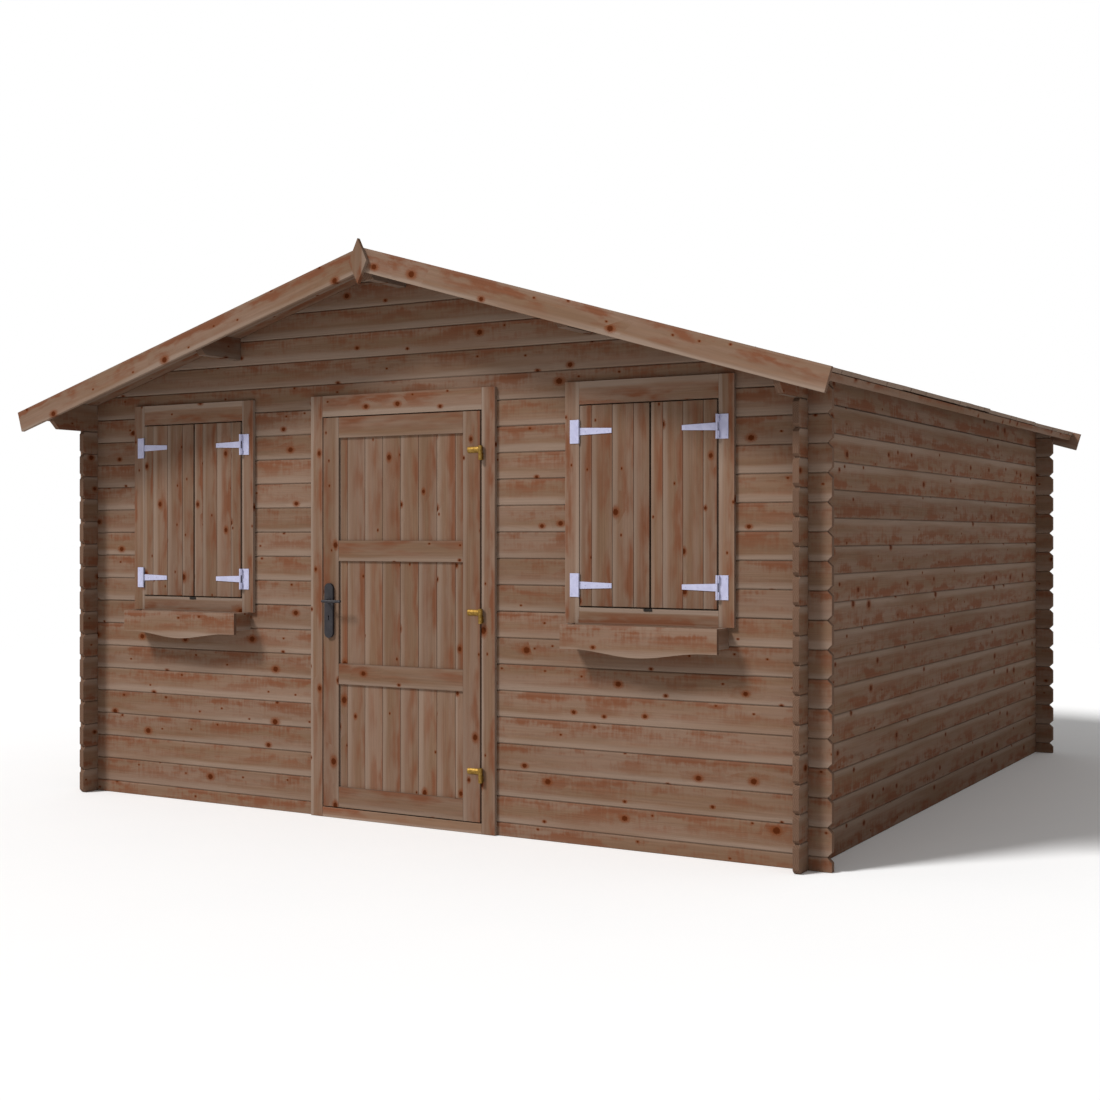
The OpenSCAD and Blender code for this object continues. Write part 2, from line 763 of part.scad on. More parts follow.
front_wall_left_base();
front_wall_left_piers();
front_wall_right_base();
front_wall_right_piers();
front_gable();
rear_wall();
rear_gable();
left_wall();
right_wall();
eave_log_left();
eave_log_right();
ridge_purlin();
purlin_left();
purlin_right();
roof_left();
roof_right();
eave_battens();
barge_front_left();
barge_front_right();
barge_rear_left();
barge_rear_right();
finials();
door_frame();
door_casing();
door_leaf();
door_panels();
door_lock_plate();
door_lever();
door_hinge_posts();
door_hinge_leaves();
window_casings();
window_frames();
window_glass();
shutter_left_outer();
shutter_left_inner();
shutter_right_inner();
shutter_right_outer();
straps_left_outer();
straps_left_inner();
straps_right_inner();
straps_right_outer();
shutter_hinge_plates();
shutter_stops();
flower_box_left();
flower_box_right();
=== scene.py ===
# %% [markdown]
# # A log garden house
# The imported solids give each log, board and hinge its size and place. This lesson
# dresses them: logs with eased edges, a roof of tongued boards, a framed door, boarded
# shutters, screws in the hinges, and one stained pine that follows every piece's grain.

import math
import random

import bpy
import numpy as np
from mathutils import Matrix, Vector


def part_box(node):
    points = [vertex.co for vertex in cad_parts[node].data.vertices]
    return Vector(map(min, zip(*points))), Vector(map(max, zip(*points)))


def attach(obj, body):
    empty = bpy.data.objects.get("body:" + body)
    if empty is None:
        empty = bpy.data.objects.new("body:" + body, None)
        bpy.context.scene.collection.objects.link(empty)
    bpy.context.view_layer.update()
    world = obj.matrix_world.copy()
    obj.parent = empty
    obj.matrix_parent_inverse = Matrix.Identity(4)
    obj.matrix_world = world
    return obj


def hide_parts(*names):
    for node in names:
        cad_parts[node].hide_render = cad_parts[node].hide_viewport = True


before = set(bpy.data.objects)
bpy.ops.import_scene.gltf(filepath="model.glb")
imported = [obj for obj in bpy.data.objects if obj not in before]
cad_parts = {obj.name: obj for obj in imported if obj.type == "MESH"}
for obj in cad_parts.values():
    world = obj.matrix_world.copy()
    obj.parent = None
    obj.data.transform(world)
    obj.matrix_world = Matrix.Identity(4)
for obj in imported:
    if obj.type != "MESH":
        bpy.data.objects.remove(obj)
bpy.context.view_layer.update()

# %% [markdown]
# ## Sizes that the pieces share
# A solid's box says where it is. Only what a box can't say is written here: the height
# and thickness of a log, the slope of the roof, and the plane of the front wall.

# %% Shared sizes
COURSE = 0.118  # height of one log
LOG = 0.028  # thickness of a log
PITCH = math.radians(16.5)  # slope of the roof
WALL_Y = -1.96  # outer face of the front wall
X, Y, Z = Vector((1, 0, 0)), Vector((0, 1, 0)), Vector((0, 0, 1))


def span(node):
    """Lowest and highest corner of a solid, as vectors."""
    low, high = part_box(node)
    return Vector(low), Vector(high)


peak = span("ridge_purlin")[1].z
print("underside of the roof at the ridge", round(peak, 3))

# %% [markdown]
# ## Picking and shaping
# Every operator works on what is selected. These helpers deselect everything first, so
# that a step never touches a piece that was left selected by the step before it. Others
# give short names to steps of edit mode that come back often.


# %% Picking and shaping
def pick(*pieces):
    """Selects only these pieces and makes the first one active."""
    bpy.ops.object.select_all(action="DESELECT")
    for piece in pieces:
        piece.select_set(True)
    bpy.context.view_layer.objects.active = pieces[0]


def edit(piece):
    """Opens a piece in edit mode with all of it selected."""
    pick(piece)
    bpy.ops.object.mode_set(mode="EDIT")
    bpy.ops.mesh.select_all(action="SELECT")


def leave():
    """Closes edit mode."""
    bpy.ops.object.mode_set(mode="OBJECT")


def extrude(*way):
    """In edit mode, extrudes the selection by this much along X, Y and Z."""
    bpy.ops.mesh.extrude_region_move(TRANSFORM_OT_translate={"value": way})


def faces_out():
    """In edit mode, points all faces outwards."""
    bpy.ops.mesh.select_all(action="SELECT")
    bpy.ops.mesh.normals_make_consistent(inside=False)


def pick_edges(piece, chosen):
    """In edit mode, selects the edges whose two ends pass a test."""
    bpy.ops.mesh.select_all(action="DESELECT")
    bpy.ops.mesh.select_mode(type="EDGE")
    leave()
    points = [v.co for v in piece.data.vertices]
    for edge in piece.data.edges:
        edge.select = chosen(points[edge.vertices[0]], points[edge.vertices[1]])
    bpy.ops.object.mode_set(mode="EDIT")


def join(name, pieces):
    """Joins pieces into one with this name."""
    pick(*pieces)
    if len(pieces) > 1:
        bpy.ops.object.join()
    joined = bpy.context.view_layer.objects.active
    joined.name = joined.data.name = name
    return joined


def hand_over(piece, material, body, *nodes):
    """Gives a finished piece its material and body, and lets it stand for its solids."""
    piece.data.materials.clear()
    piece.data.materials.append(material)
    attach(piece, body)
    if nodes:
        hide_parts(*nodes)
    return piece


print("nodes in the frame", len(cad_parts))

# %% [markdown]
# ## Grain
# Wood is only convincing when its figure follows each board. Every face therefore
# carries two small vectors. `grain` is the place inside the board: along it, across it
# and into it, in metres, shifted at random so that no two boards match. `plank` holds
# how far across the board the place is, the board's own tone, and whether it is an end.
# A wall holds many logs in one piece, so the boards of a piece are told apart by width.


# %% Grain
TRUNK = 90  # length of the trunk that a board is thought to be cut from
OFF_CENTRE = 0.04  # how far to either side of the heart its middle may lie
HEART_NEAR, HEART_FAR = 0.02, 0.06  # how far from the heart it may be cut
END_FACE = 0.6  # a face that looks along the grain by more than this is an end


def read_rows(items, name):
    """Reads one vector of a mesh's vertices or faces as rows of three numbers."""
    values = np.empty(len(items) * 3)
    items.foreach_get(name, values)
    return values.reshape(-1, 3)


def place_in_trunk(seed):
    """Where a board was cut (along, across and into its trunk), and its tone."""
    rng = random.Random(seed)
    side = rng.choice((-1, 1))
    return (rng.uniform(0, TRUNK), rng.uniform(-OFF_CENTRE, OFF_CENTRE),
            rng.uniform(HEART_NEAR, HEART_FAR) * side, rng.random())


def lay_grain(piece, along, across, width=None, start=None, seed=""):
    """Writes grain and plank on a piece whose boards lie side by side, each width wide."""
    mesh = piece.data
    owner = np.empty(len(mesh.loops), dtype=int)
    mesh.loops.foreach_get("vertex_index", owner)
    total = np.empty(len(mesh.polygons), dtype=int)
    mesh.polygons.foreach_get("loop_total", total)
    face_of = np.repeat(np.arange(len(total)), total)
    points = read_rows(mesh.vertices, "co")[owner]
    middle = read_rows(mesh.polygons, "center")
    normal = read_rows(mesh.polygons, "normal")
    along, across = np.array(along), np.array(across)
    into = np.cross(along, across)
    if start is None:
        start = (points @ across).min()
    if width is None:
        width = (points @ across).max() - start
    number = np.floor((middle @ across - start) / width + 1e-6).astype(int)
    places = {i: place_in_trunk(f"{seed or piece.name}{i}") for i in np.unique(number)}
    shift = np.array([places[i] for i in number])[face_of]
    base = (start + (number + 0.5) * width)[face_of]
    depth = (points @ into).mean()
    grain = np.stack([points @ along + shift[:, 0], points @ across - base + shift[:, 1],
                      points @ into - depth + shift[:, 2]], axis=1)
    is_end = (abs(normal @ along) > END_FACE)[face_of]
    plank = np.stack([(points @ across - base) / width + 0.5, shift[:, 3], is_end], axis=1)
    for name, values in (("grain", grain), ("plank", plank)):
        if name not in mesh.attributes:
            mesh.attributes.new(name, "FLOAT_VECTOR", "CORNER")
        mesh.attributes[name].data.foreach_set("vector", values.ravel())
    return piece


print("boards come from within", HEART_FAR, "m of the heart")

# %% [markdown]
# ## A pattern board and its copies
# A planed board is a box with eased edges, so that a thin bright line runs along each
# edge and a fine V shows where two boards meet. One pattern is made from a cube that is
# stretched and bevelled in edit mode. Every other board is a copy with its own mesh,
# whose eight corners are pulled apart to the new size, so the easing keeps its width.


# %% A pattern board and its copies
def finish_edges(piece, angle=35):
    """Smooth shading on the eased edges only."""
    pick(piece)
    bpy.ops.object.shade_smooth_by_angle(angle=math.radians(angle))
    piece.modifiers.new("flat faces", "WEIGHTED_NORMAL").keep_sharp = True
    bpy.ops.object.modifier_apply(modifier="flat faces")
    return piece


def pattern_board(name, edge):
    """A board that stands upright: across is X, thickness is Y, length is Z."""
    bpy.ops.object.select_all(action="DESELECT")
    bpy.ops.mesh.primitive_cube_add(size=1)
    piece = bpy.context.object
    piece.name = name
    edit(piece)
    bpy.ops.transform.resize(value=(0.1, 0.02, 1))  # pull() sets each copy's own size
    bpy.ops.mesh.bevel(offset=edge, segments=2, affect="EDGES")
    leave()
    return piece


def copy_of(pattern):
    """A copy of a pattern with a mesh of its own."""
    piece = pattern.copy()
    piece.data = pattern.data.copy()
    bpy.context.collection.objects.link(piece)
    return piece


def pull(piece, size):
    """Moves the corners of a board apart until it has this size."""
    points = read_rows(piece.data.vertices, "co")
    points += np.sign(points) * (np.array(size) / 2 - abs(points).max(axis=0))
    piece.data.vertices.foreach_set("co", points.ravel())


def board(pattern, low, high, along, flip=False):
    """A copy of a pattern between two corners; flip lays its pale edge on the other side."""
    low, high = Vector(low), Vector(high)
    middle, size = (low + high) / 2, high - low
    across = max((axis for axis in (X, Y, Z) if axis != along), key=size.dot)
    into = along.cross(across)
    piece = copy_of(pattern)
    pull(piece, (abs(size.dot(across)), abs(size.dot(into)), abs(size.dot(along))))
    lay_grain(piece, Z, -X if flip else X, seed=f"{[round(v, 3) for v in low]}")
    turn = Matrix((across, into, along)).transposed().to_4x4()
    piece.data.transform(Matrix.Translation(middle) @ turn)
    return piece


def boarding(name, boards):
    """Joins finished boards into one piece with clean edges."""
    return finish_edges(join(name, boards))


SHARP_EDGE, SOFT_EDGE = 0.0012, 0.0024  # width of the easing
sharp = pattern_board("pattern sharp board", SHARP_EDGE)
soft = pattern_board("pattern soft board", SOFT_EDGE)
print("pattern faces", len(sharp.data.polygons))

# %% [markdown]
# ## Easing the edges of a solid
# Logs, purlins and barge boards already have their true shape. A copy of such a solid is
# merged, its flat faces are cleaned of triangles, and a narrow bevel eases the arrises.


# %% Easing the edges of a solid
def merged_copy(node, name):
    """A copy of a solid with its loose triangles merged into clean faces."""
    piece = bpy.data.objects.new(name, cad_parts[node].data.copy())
    bpy.context.collection.objects.link(piece)
    edit(piece)
    bpy.ops.mesh.remove_doubles(threshold=2e-5)
    bpy.ops.mesh.customdata_custom_splitnormals_clear()
    bpy.ops.mesh.dissolve_limited(angle_limit=math.radians(1))
    leave()
    return piece


def ease(piece, edge, segments=2):
    """Bevels every sharp edge of a piece."""
    bevel = piece.modifiers.new("ease", "BEVEL")
    bevel.width = edge
    bevel.segments = segments
    bevel.limit_method = "ANGLE"
    bevel.angle_limit = math.radians(30)
    pick(piece)
    bpy.ops.object.modifier_apply(modifier="ease")
    return finish_edges(piece)


def eased(node, name, edge, segments=2):
    """A merged copy of a solid with bevelled edges."""
    return ease(merged_copy(node, name), edge, segments)


print("easing helpers are ready")

# %% [markdown]
# ## Shader helpers
# A material is a tree of nodes. These helpers add a node, set its numbers and link what
# feeds it, so that a recipe reads from top to bottom.


# %% Shader helpers
def add(tree, kind, links=(), **settings):
    """Adds a node. links holds (input, value or socket); settings are its own switches."""
    node = tree.nodes.new(kind)
    for key, value in settings.items():
        setattr(node, key, value)
    for key, value in links:
        if isinstance(value, bpy.types.NodeSocket):
            tree.links.new(value, node.inputs[key])
        else:
            node.inputs[key].default_value = value
    return node


def maths(tree, operation, *values):
    """A number from one, two or three others."""
    return add(tree, "ShaderNodeMath", enumerate(values), operation=operation).outputs[0]


def vectors(tree, operation, *values):
    """A vector from two others."""
    return add(tree, "ShaderNodeVectorMath", enumerate(values), operation=operation).outputs[0]


def length(tree, vector):
    """The length of a vector."""
    return add(tree, "ShaderNodeVectorMath", [(0, vector)], operation="LENGTH").outputs["Value"]


def noise(tree, place, scales, detail=2.0, roughness=0.5):
    """Soft random figure between 0 and 1. scales: how often it repeats in a metre of
    each axis."""
    links = (("Vector", vectors(tree, "MULTIPLY", place, scales)), ("Scale", 1.0),
             ("Detail", detail), ("Roughness", roughness))
    return add(tree, "ShaderNodeTexNoise", links).outputs[0]


def ease_in(tree, value, low, high, to_low=0.0, to_high=1.0):
    """Turns a number smoothly from to_low to to_high as it goes from low to high."""
    links = ((0, value), (1, low), (2, high), (3, to_low), (4, to_high))
    node = add(tree, "ShaderNodeMapRange", links, interpolation_type="SMOOTHSTEP")
    return node.outputs[0]


def blend(tree, factor, first, second, mode="MIX"):
    """One colour over another."""
    links = ((0, factor), (6, first), (7, second))
    node = add(tree, "ShaderNodeMix", links, data_type="RGBA", blend_type=mode)
    return node.outputs[2]


def surface(name):
    """A new material with its shader, ready for a recipe."""
    material = bpy.data.materials.new(name)
    material.use_nodes = True
    return material, material.node_tree, material.node_tree.nodes["Principled BSDF"]


def relief(tree, shader, height, strength, distance):
    """Small relief that the light catches, without moving the surface."""
    links = (("Height", height), ("Strength", strength), ("Distance", distance))
    tree.links.new(add(tree, "ShaderNodeBump", links).outputs[0], shader.inputs["Normal"])


print("shader helpers are ready")

# %% [markdown]
# ## Knots
# A knot is where a branch grew. Cells of random shape scatter them over the board, and
# most cells hold one. Each has a dark red core and a rust-brown halo, both longer along
# the grain, and the fibres bow round it. The cells ignore the board's thickness, so a
# knot goes right through and shows on both faces.

# %% Knots
KNOT_CELLS = (5.0, 6.8)  # cells in a metre along the grain and across it
KNOT_SHARE = 0.78  # share of the cells that hold a knot
KNOT_SMALL = 0.0038  # radius of the smallest knots
KNOT_SPREAD = 0.0110  # how much larger the largest are
KNOT_OUTLINE = (220, 260, 0)  # how fine the raggedness of their outline is


def knot_masks(tree, grain):
    """Core and halo of the knots between 0 and 1, and how far they push the fibres."""
    flat = vectors(tree, "MULTIPLY", grain, (*KNOT_CELLS, 0))
    cells = add(tree, "ShaderNodeTexVoronoi", (("Vector", flat), ("Scale", 1.0)),
                voronoi_dimensions="2D", feature="F1").outputs
    chance = add(tree, "ShaderNodeSeparateColor", [(0, cells["Color"])]).outputs
    offset = vectors(tree, "SUBTRACT", flat, cells["Position"])
    offset = vectors(tree, "MULTIPLY", offset, (1 / KNOT_CELLS[0], 1 / KNOT_CELLS[1], 0))
    seldom = maths(tree, "POWER", chance[1], 3.0)
    radius = maths(tree, "MULTIPLY_ADD", seldom, KNOT_SPREAD, KNOT_SMALL)
    ragged = noise(tree, grain, KNOT_OUTLINE, detail=2)
    radius = maths(tree, "MULTIPLY", radius, maths(tree, "MULTIPLY_ADD", ragged, 0.9, 0.55))
    here = maths(tree, "GREATER_THAN", chance[0], 1 - KNOT_SHARE)

    def fading(longer, near, far, strength):
        """Full strength up to near, none from far on, in knot radii on a longer oval."""
        oval = vectors(tree, "MULTIPLY", offset, (1 / longer, 1, 0))
        reach = maths(tree, "DIVIDE", length(tree, oval), radius)
        return maths(tree, "MULTIPLY", ease_in(tree, reach, near, far, strength, 0.0), here)

    core = fading(longer=1.15, near=0.75, far=1.1, strength=1.0)
    halo = fading(longer=1.5, near=0.8, far=2.1, strength=0.8)
    bow = fading(longer=3.5, near=0.6, far=5.0, strength=-0.8)
    sideways = add(tree, "ShaderNodeSeparateXYZ", [(0, offset)]).outputs[1]
    return core, halo, maths(tree, "MULTIPLY", sideways, bow)


print("knots per square metre, about", round(KNOT_SHARE * KNOT_CELLS[0] * KNOT_CELLS[1]))

# %% [markdown]
# ## Streaks and growth lines
# The wood is softwood under a thin brown stain. Soft streaks of ochre and pink drift
# along a board. Growth lines are the rings of the trunk, so a wave of rings draws them.
# Stretched along the grain, the same rings give long lines on a face and arcs on an end.

# %% Streaks and growth lines
PINE_OCHRE = (0.159, 0.093, 0.057, 1)
PINE_PINK = (0.186, 0.116, 0.081, 1)
STREAKS = (1.1, 17, 17)  # repeats in a metre along the grain, across it and into it
DRIFT = (0.7, 4, 4)  # slower change from one streak to the next
RING_STRETCH = (0.04, 1, 1)


def streaks(tree, place, grain):
    """Ochre and pink in soft streaks."""
    streak = noise(tree, place, STREAKS, detail=4, roughness=0.55)
    drift = noise(tree, grain, DRIFT, detail=1)
    mix = maths(tree, "MULTIPLY_ADD", drift, 0.5, streak)
    return blend(tree, ease_in(tree, mix, 0.58, 0.92), PINE_OCHRE, PINE_PINK)


def growth_rings(tree, place):
    """Growth lines between 0 and 1."""
    links = (("Vector", vectors(tree, "MULTIPLY", place, RING_STRETCH)), ("Scale", 42.0),
             ("Distortion", 1.2), ("Detail", 1.0), ("Detail Scale", 0.7))
    wave = add(tree, "ShaderNodeTexWave", links, wave_type="RINGS", rings_direction="X")
    return wave.outputs[1]


print("a streak is about", round(1 / STREAKS[0], 1), "m long")

# %% [markdown]
# ## Red smears
# The stain soaks in unevenly and leaves red smears, more of them towards the far edge of
# a board. Two finer figures break them up: a mottle, and on rough timber the bars that a
# saw leaves across the grain.

# %% Red smears
PINE_RED = (0.148, 0.058, 0.030, 1)
SMEARS = (4.5, 20, 20)
MOTTLE = (13, 28, 28)
SAW_MARKS = (75, 14, 14)


def smears(tree, place, grain, across, given):
    """How red the stain is."""
    smear = noise(tree, place, SMEARS, detail=2)
    for scales, detail, rough, label in ((MOTTLE, 3, 0.55, "Mottle"), (SAW_MARKS, 1, 0.5, "Sawn")):
        figure = maths(tree, "SUBTRACT", noise(tree, grain, scales, detail, rough), 0.5)
        figure = maths(tree, "MULTIPLY", figure, given[label])
        smear = maths(tree, "ADD", smear, figure)
    smear = ease_in(tree, smear, 0.38, 0.72, 0.0, 1.25)
    towards_edge = maths(tree, "MULTIPLY_ADD", across, 1.4, -0.1)
    return maths(tree, "MULTIPLY", maths(tree, "MULTIPLY", smear, towards_edge), given["Red"])


print("saw marks are about", round(1000 / SAW_MARKS[0]), "mm apart")

# %% [markdown]
# ## Sapwood
# The outermost wood of a trunk is pale. A board sawn from there keeps a pale grey strip
# along one edge, with a ragged border, which fades in and out along the board. A faint,
# narrow painted highlight lies along the other edge, as if its rounding caught the light.

# %% Sapwood
PINE_GREY = (0.222, 0.158, 0.120, 1)
SAP_BORDER = (1.3, 14, 14)
SAP_FADE = (0.9, 1, 1)


def sapwood(tree, place, grain, across, tone, given):
    """How pale the wood is, with a painted highlight along its other edge."""
    border = maths(tree, "SUBTRACT", noise(tree, place, SAP_BORDER, detail=3), 0.5)
    border = maths(tree, "MULTIPLY_ADD", border, 0.42, across)
    border = maths(tree, "SUBTRACT", border, maths(tree, "MULTIPLY", tone, 0.10))
    strip = ease_in(tree, border, 0.07, 0.27, 1.0, 0.0)
    fade = ease_in(tree, noise(tree, grain, SAP_FADE, detail=1), 0.30, 0.55, 0.25, 1.0)
    # A painted highlight: a faint pale line along the other edge, as if its rounding caught the
    # light.
    edge_highlight = ease_in(tree, across, 0.88, 0.93, 0.0, 0.15)
    strip = maths(tree, "MULTIPLY_ADD", strip, fade, edge_highlight)
    return maths(tree, "MULTIPLY", strip, given["Grey"])


print("sapwood is", round(PINE_GREY[0] / PINE_OCHRE[0], 1), "times as light as ochre")

# %% [markdown]
# ## Light and dark
# Colour alone looks flat. Each board also has a tone, threads and fibres run along it, and
# dirt with painted shade darkens the joint where boards meet in a wall, a door, a shutter
# or the roof. All of these are one number, by which the colour is multiplied.

# %% Light and dark
FIBRES = (14, 420, 420)
THREADS = (3.5, 120, 120)
JOINT_START, JOINT_END = 0.468, 0.492  # from the middle of a board, as shares of its width
JOINT_DIRT_AND_SHADE = 0.34


def board_shade(tree, across, tone, lines, given):
    """What the colour is multiplied by. lines: each figure with its factor and start."""
    shade = maths(tree, "MULTIPLY_ADD", tone, 0.14, 0.93)
    for figure, factor, start in lines:
        line = maths(tree, "MULTIPLY_ADD", figure, factor, start)
        shade = maths(tree, "MULTIPLY", shade, line)
    # Dirt and painted shade: a dark band at each edge of a board, as if shade lay in the joint.
    edge = maths(tree, "ABSOLUTE", maths(tree, "SUBTRACT", across, 0.5))
    joint = ease_in(tree, edge, JOINT_START, JOINT_END, 0.0, JOINT_DIRT_AND_SHADE)
    joint = maths(tree, "MULTIPLY", joint, given["Seam"])
    shade = maths(tree, "MULTIPLY", shade, maths(tree, "SUBTRACT", 1.0, joint))
    return maths(tree, "MULTIPLY", shade, given["Light"])


print("joints are darkened by", JOINT_DIRT_AND_SHADE)

# %% [markdown]
# ## Stained pine
# Now the parts are put together in a node group, which is one recipe that many materials
# can share. Everything is read from the grain vectors, so it follows each log, rail and
# board, and nothing slides when a door opens. Its inputs are what differs from one kind
# of timber to the next.

# %% Stained pine
KNOT_HALO = (0.136, 0.036, 0.010, 1)
KNOT_CORE = (0.070, 0.015, 0.003, 1)
END_GRAIN = (0.140, 0.082, 0.055, 1)
END_LINE = (0.095, 0.052, 0.033, 1)
WANDER = (1.8, 6, 6)  # how often the fibres swing aside in a metre
SWING = 0.016  # how far they swing


def pine_recipe():
    """The node group that all the pine materials share."""
    tree = bpy.data.node_groups.new("stained pine", "ShaderNodeTree")
    for label in ("Light", "Red", "Grey", "Ends", "Sawn", "Seam", "Mottle"):
        tree.interface.new_socket(label, in_out="INPUT", socket_type="NodeSocketFloat")
    for label, kind in (("Color", "Color"), ("Roughness", "Float"), ("Height", "Float")):
        tree.interface.new_socket(label, in_out="OUTPUT", socket_type=f"NodeSocket{kind}")
    given = add(tree, "NodeGroupInput").outputs
    grain = add(tree, "ShaderNodeAttribute", attribute_name="grain").outputs["Vector"]
    plank = add(tree, "ShaderNodeAttribute", attribute_name="plank").outputs["Vector"]
    across, tone, is_end = add(tree, "ShaderNodeSeparateXYZ", [(0, plank)]).outputs
    core, halo, push = knot_masks(tree, grain)

    # The fibres swing a little on their way along the board and bow round the knots
    wander = maths(tree, "SUBTRACT", noise(tree, grain, WANDER), 0.5)
    wander = maths(tree, "MULTIPLY_ADD", wander, SWING, push)
    offset = add(tree, "ShaderNodeCombineXYZ", [(1, wander), (2, wander)]).outputs[0]
    place = vectors(tree, "ADD", grain, offset)
    rings = growth_rings(tree, place)
    fibre = noise(tree, place, FIBRES)
    thread = noise(tree, place, THREADS, detail=3)

    # The colour of a face, then that of a sawn end
    colour = streaks(tree, place, grain)
    colour = blend(tree, smears(tree, place, grain, across, given), colour, PINE_RED)
    pale = sapwood(tree, place, grain, across, tone, given)
    colour = blend(tree, pale, colour, PINE_GREY)
    colour = blend(tree, halo, colour, KNOT_HALO)
    colour = blend(tree, core, colour, KNOT_CORE)
    sawn = blend(tree, maths(tree, "MULTIPLY", rings, 0.6), END_GRAIN, END_LINE)
    sawn = blend(tree, given["Ends"], sawn, PINE_GREY)
    colour = blend(tree, is_end, colour, sawn)

    # Light and dark, and the relief that catches the light
    lines = ((thread, 0.26, 0.87), (fibre, 0.16, 0.92), (rings, -0.06, 1.03))
    shade = board_shade(tree, across, tone, lines, given)
    grey = add(tree, "ShaderNodeCombineColor", [(0, shade), (1, shade), (2, shade)]).outputs[0]
    colour = blend(tree, 1.0, colour, grey, "MULTIPLY")
    rough = maths(tree, "MULTIPLY_ADD", fibre, 0.20, 0.62)
    height = maths(tree, "MULTIPLY_ADD", rings, -0.4, fibre)
    height = maths(tree, "SUBTRACT", height, maths(tree, "MULTIPLY", core, 0.6))
    add(tree, "NodeGroupOutput", (("Color", colour), ("Roughness", rough), ("Height", height)))
    return tree


PINE = pine_recipe()
print("pine recipe nodes", len(PINE.nodes))

# %% [markdown]
# ## The pines of the house
# All the boards come from one recipe. Each kind sets its own lightness, redness and
# sapwood, as the timber of one order is sorted by use, but the frame is lighter as painted
# light in its shaded gaps. Logs, battens and flower boxes keep faint saw marks. The sheen
# is low, because a thin stain soaks in and leaves no film.


# %% The pines of the house
PINE_RELIEF = 0.0005  # height of the fibres that the bump suggests


def pine(name, light=1.0, red=0.8, grey=0.8, ends=0.0, sawn=0.0, seam=0.0, mottle=0.6):
    """A pine. ends: how grey its ends are; sawn: its saw marks; seam: how dark dirt and painted
    shade make its joints; mottle: how much its red smears break up."""
    material, tree, shader = surface(name)
    wood = add(tree, "ShaderNodeGroup", node_tree=PINE)
    given = {"Light": light, "Red": red, "Grey": grey, "Ends": ends, "Sawn": sawn,
             "Seam": seam, "Mottle": mottle}
    for label, value in given.items():
        wood.inputs[label].default_value = value
    tree.links.new(wood.outputs["Color"], shader.inputs["Base Color"])
    tree.links.new(wood.outputs["Roughness"], shader.inputs["Roughness"])
    relief(tree, shader, wood.outputs["Height"], 0.45, PINE_RELIEF)
    shader.inputs["Specular IOR Level"].default_value = 0.03
    return material


log_pine = pine("log pine", sawn=0.35, seam=1.0)
side_pine = pine("side log pine", red=1.0, grey=0.75, sawn=0.35, seam=1.0)
beam_pine = pine("purlin pine", light=0.8)
barge_pine = pine("barge board pine", light=1.1, red=1.1, grey=1.1)
finial_pine = pine("finial pine", light=0.92, red=2.6, grey=0.8)
casing_pine = pine("casing pine", light=1.05, red=1.05, grey=1.6, mottle=0.3)
batten_pine = pine("batten pine", light=0.92, red=1.0, grey=0.0, sawn=0.35)
box_pine = pine("flower box pine", light=1.09, red=1.0, grey=2.0, sawn=0.35)
door_pine = pine("door pine", light=0.97, red=0.85, grey=0.65, seam=0.7, mottle=0.15)
shutter_pine = pine("shutter pine", light=0.94, red=1.0, grey=0.75, seam=0.9, mottle=0.2)
roof_pine = pine("roof board pine", grey=0.7, ends=0.9, seam=0.8)
# The frame is painted lighter than the other timbers, painted light that lifts the shade in the
# narrow gaps round the door and the windows.
frame_pine_lightened = pine("frame pine", light=1.2)
print("pine materials", len([m for m in bpy.data.materials if "pine" in m.name]))

# %% [markdown]
# ## Metals and glass
# The strap hinges are steel under a thick lilac-white paint, the lock is dark grey, the
# door hinges are brass, and the panes are clear. Each gets a faint unevenness so that it
# never looks like plastic.


# %% Metals
METAL_RELIEF = 1e-4  # height of the unevenness


def metal(name, colour, darker, rough, metallic, cloud_scale):
    """Painted or bare metal with slight cloudiness."""
    material, tree, shader = surface(name)
    where = add(tree, "ShaderNodeTexCoord").outputs["Object"]
    cloud = noise(tree, where, (cloud_scale,) * 3, detail=4)
    tone = blend(tree, ease_in(tree, cloud, 0.35, 0.7), darker, colour)
    tree.links.new(tone, shader.inputs["Base Color"])
    tree.links.new(ease_in(tree, cloud, 0.3, 0.7, rough + 0.1, rough), shader.inputs["Roughness"])
    fine = noise(tree, where, (cloud_scale * 12,) * 3)
    relief(tree, shader, fine, 0.4, METAL_RELIEF)
    shader.inputs["Metallic"].default_value = metallic
    shader.inputs["Specular IOR Level"].default_value = 0.3
    return material


white_paint = metal("white paint", (0.45, 0.45, 0.60, 1), (0.40, 0.40, 0.55, 1), 0.45, 0, 40)
lock_paint = metal("lock paint", (0.026, 0.023, 0.026, 1), (0.017, 0.015, 0.018, 1), 0.45, 0, 60)
# Near-black paint on the stops: a painted shadow below where the shutter leaves meet.
stop_shadow_paint = metal("stop paint", (0.024, 0.018, 0.014, 1), (0.016, 0.012, 0.009, 1), 0.8, 0, 60)
brass = metal("brass", (0.34, 0.209, 0.052, 1), (0.235, 0.135, 0.030, 1), 0.55, 1.0, 90)
print("metals are ready")

# %% Glass
pane, tree, shader = surface("window glass")
where = add(tree, "ShaderNodeTexCoord").outputs["Object"]
haze = noise(tree, where, (9, 9, 9), detail=3)
tree.links.new(ease_in(tree, haze, 0.3, 0.8, 0.02, 0.07), shader.inputs["Roughness"])
tree.links.new(blend(tree, haze, (0.93, 0.96, 0.95, 1), (1, 1, 1, 1)), shader.inputs["Base Color"])
shader.inputs["Transmission Weight"].default_value = 1.0
shader.inputs["IOR"].default_value = 1.45
print("glass lets light through:", shader.inputs["Transmission Weight"].default_value)

# %% [markdown]
# ## Camera
# The camera stands at chest height, in front of the house and off to its right, and looks
# level, so that upright edges stay upright. A small shift moves the horizon up a little.

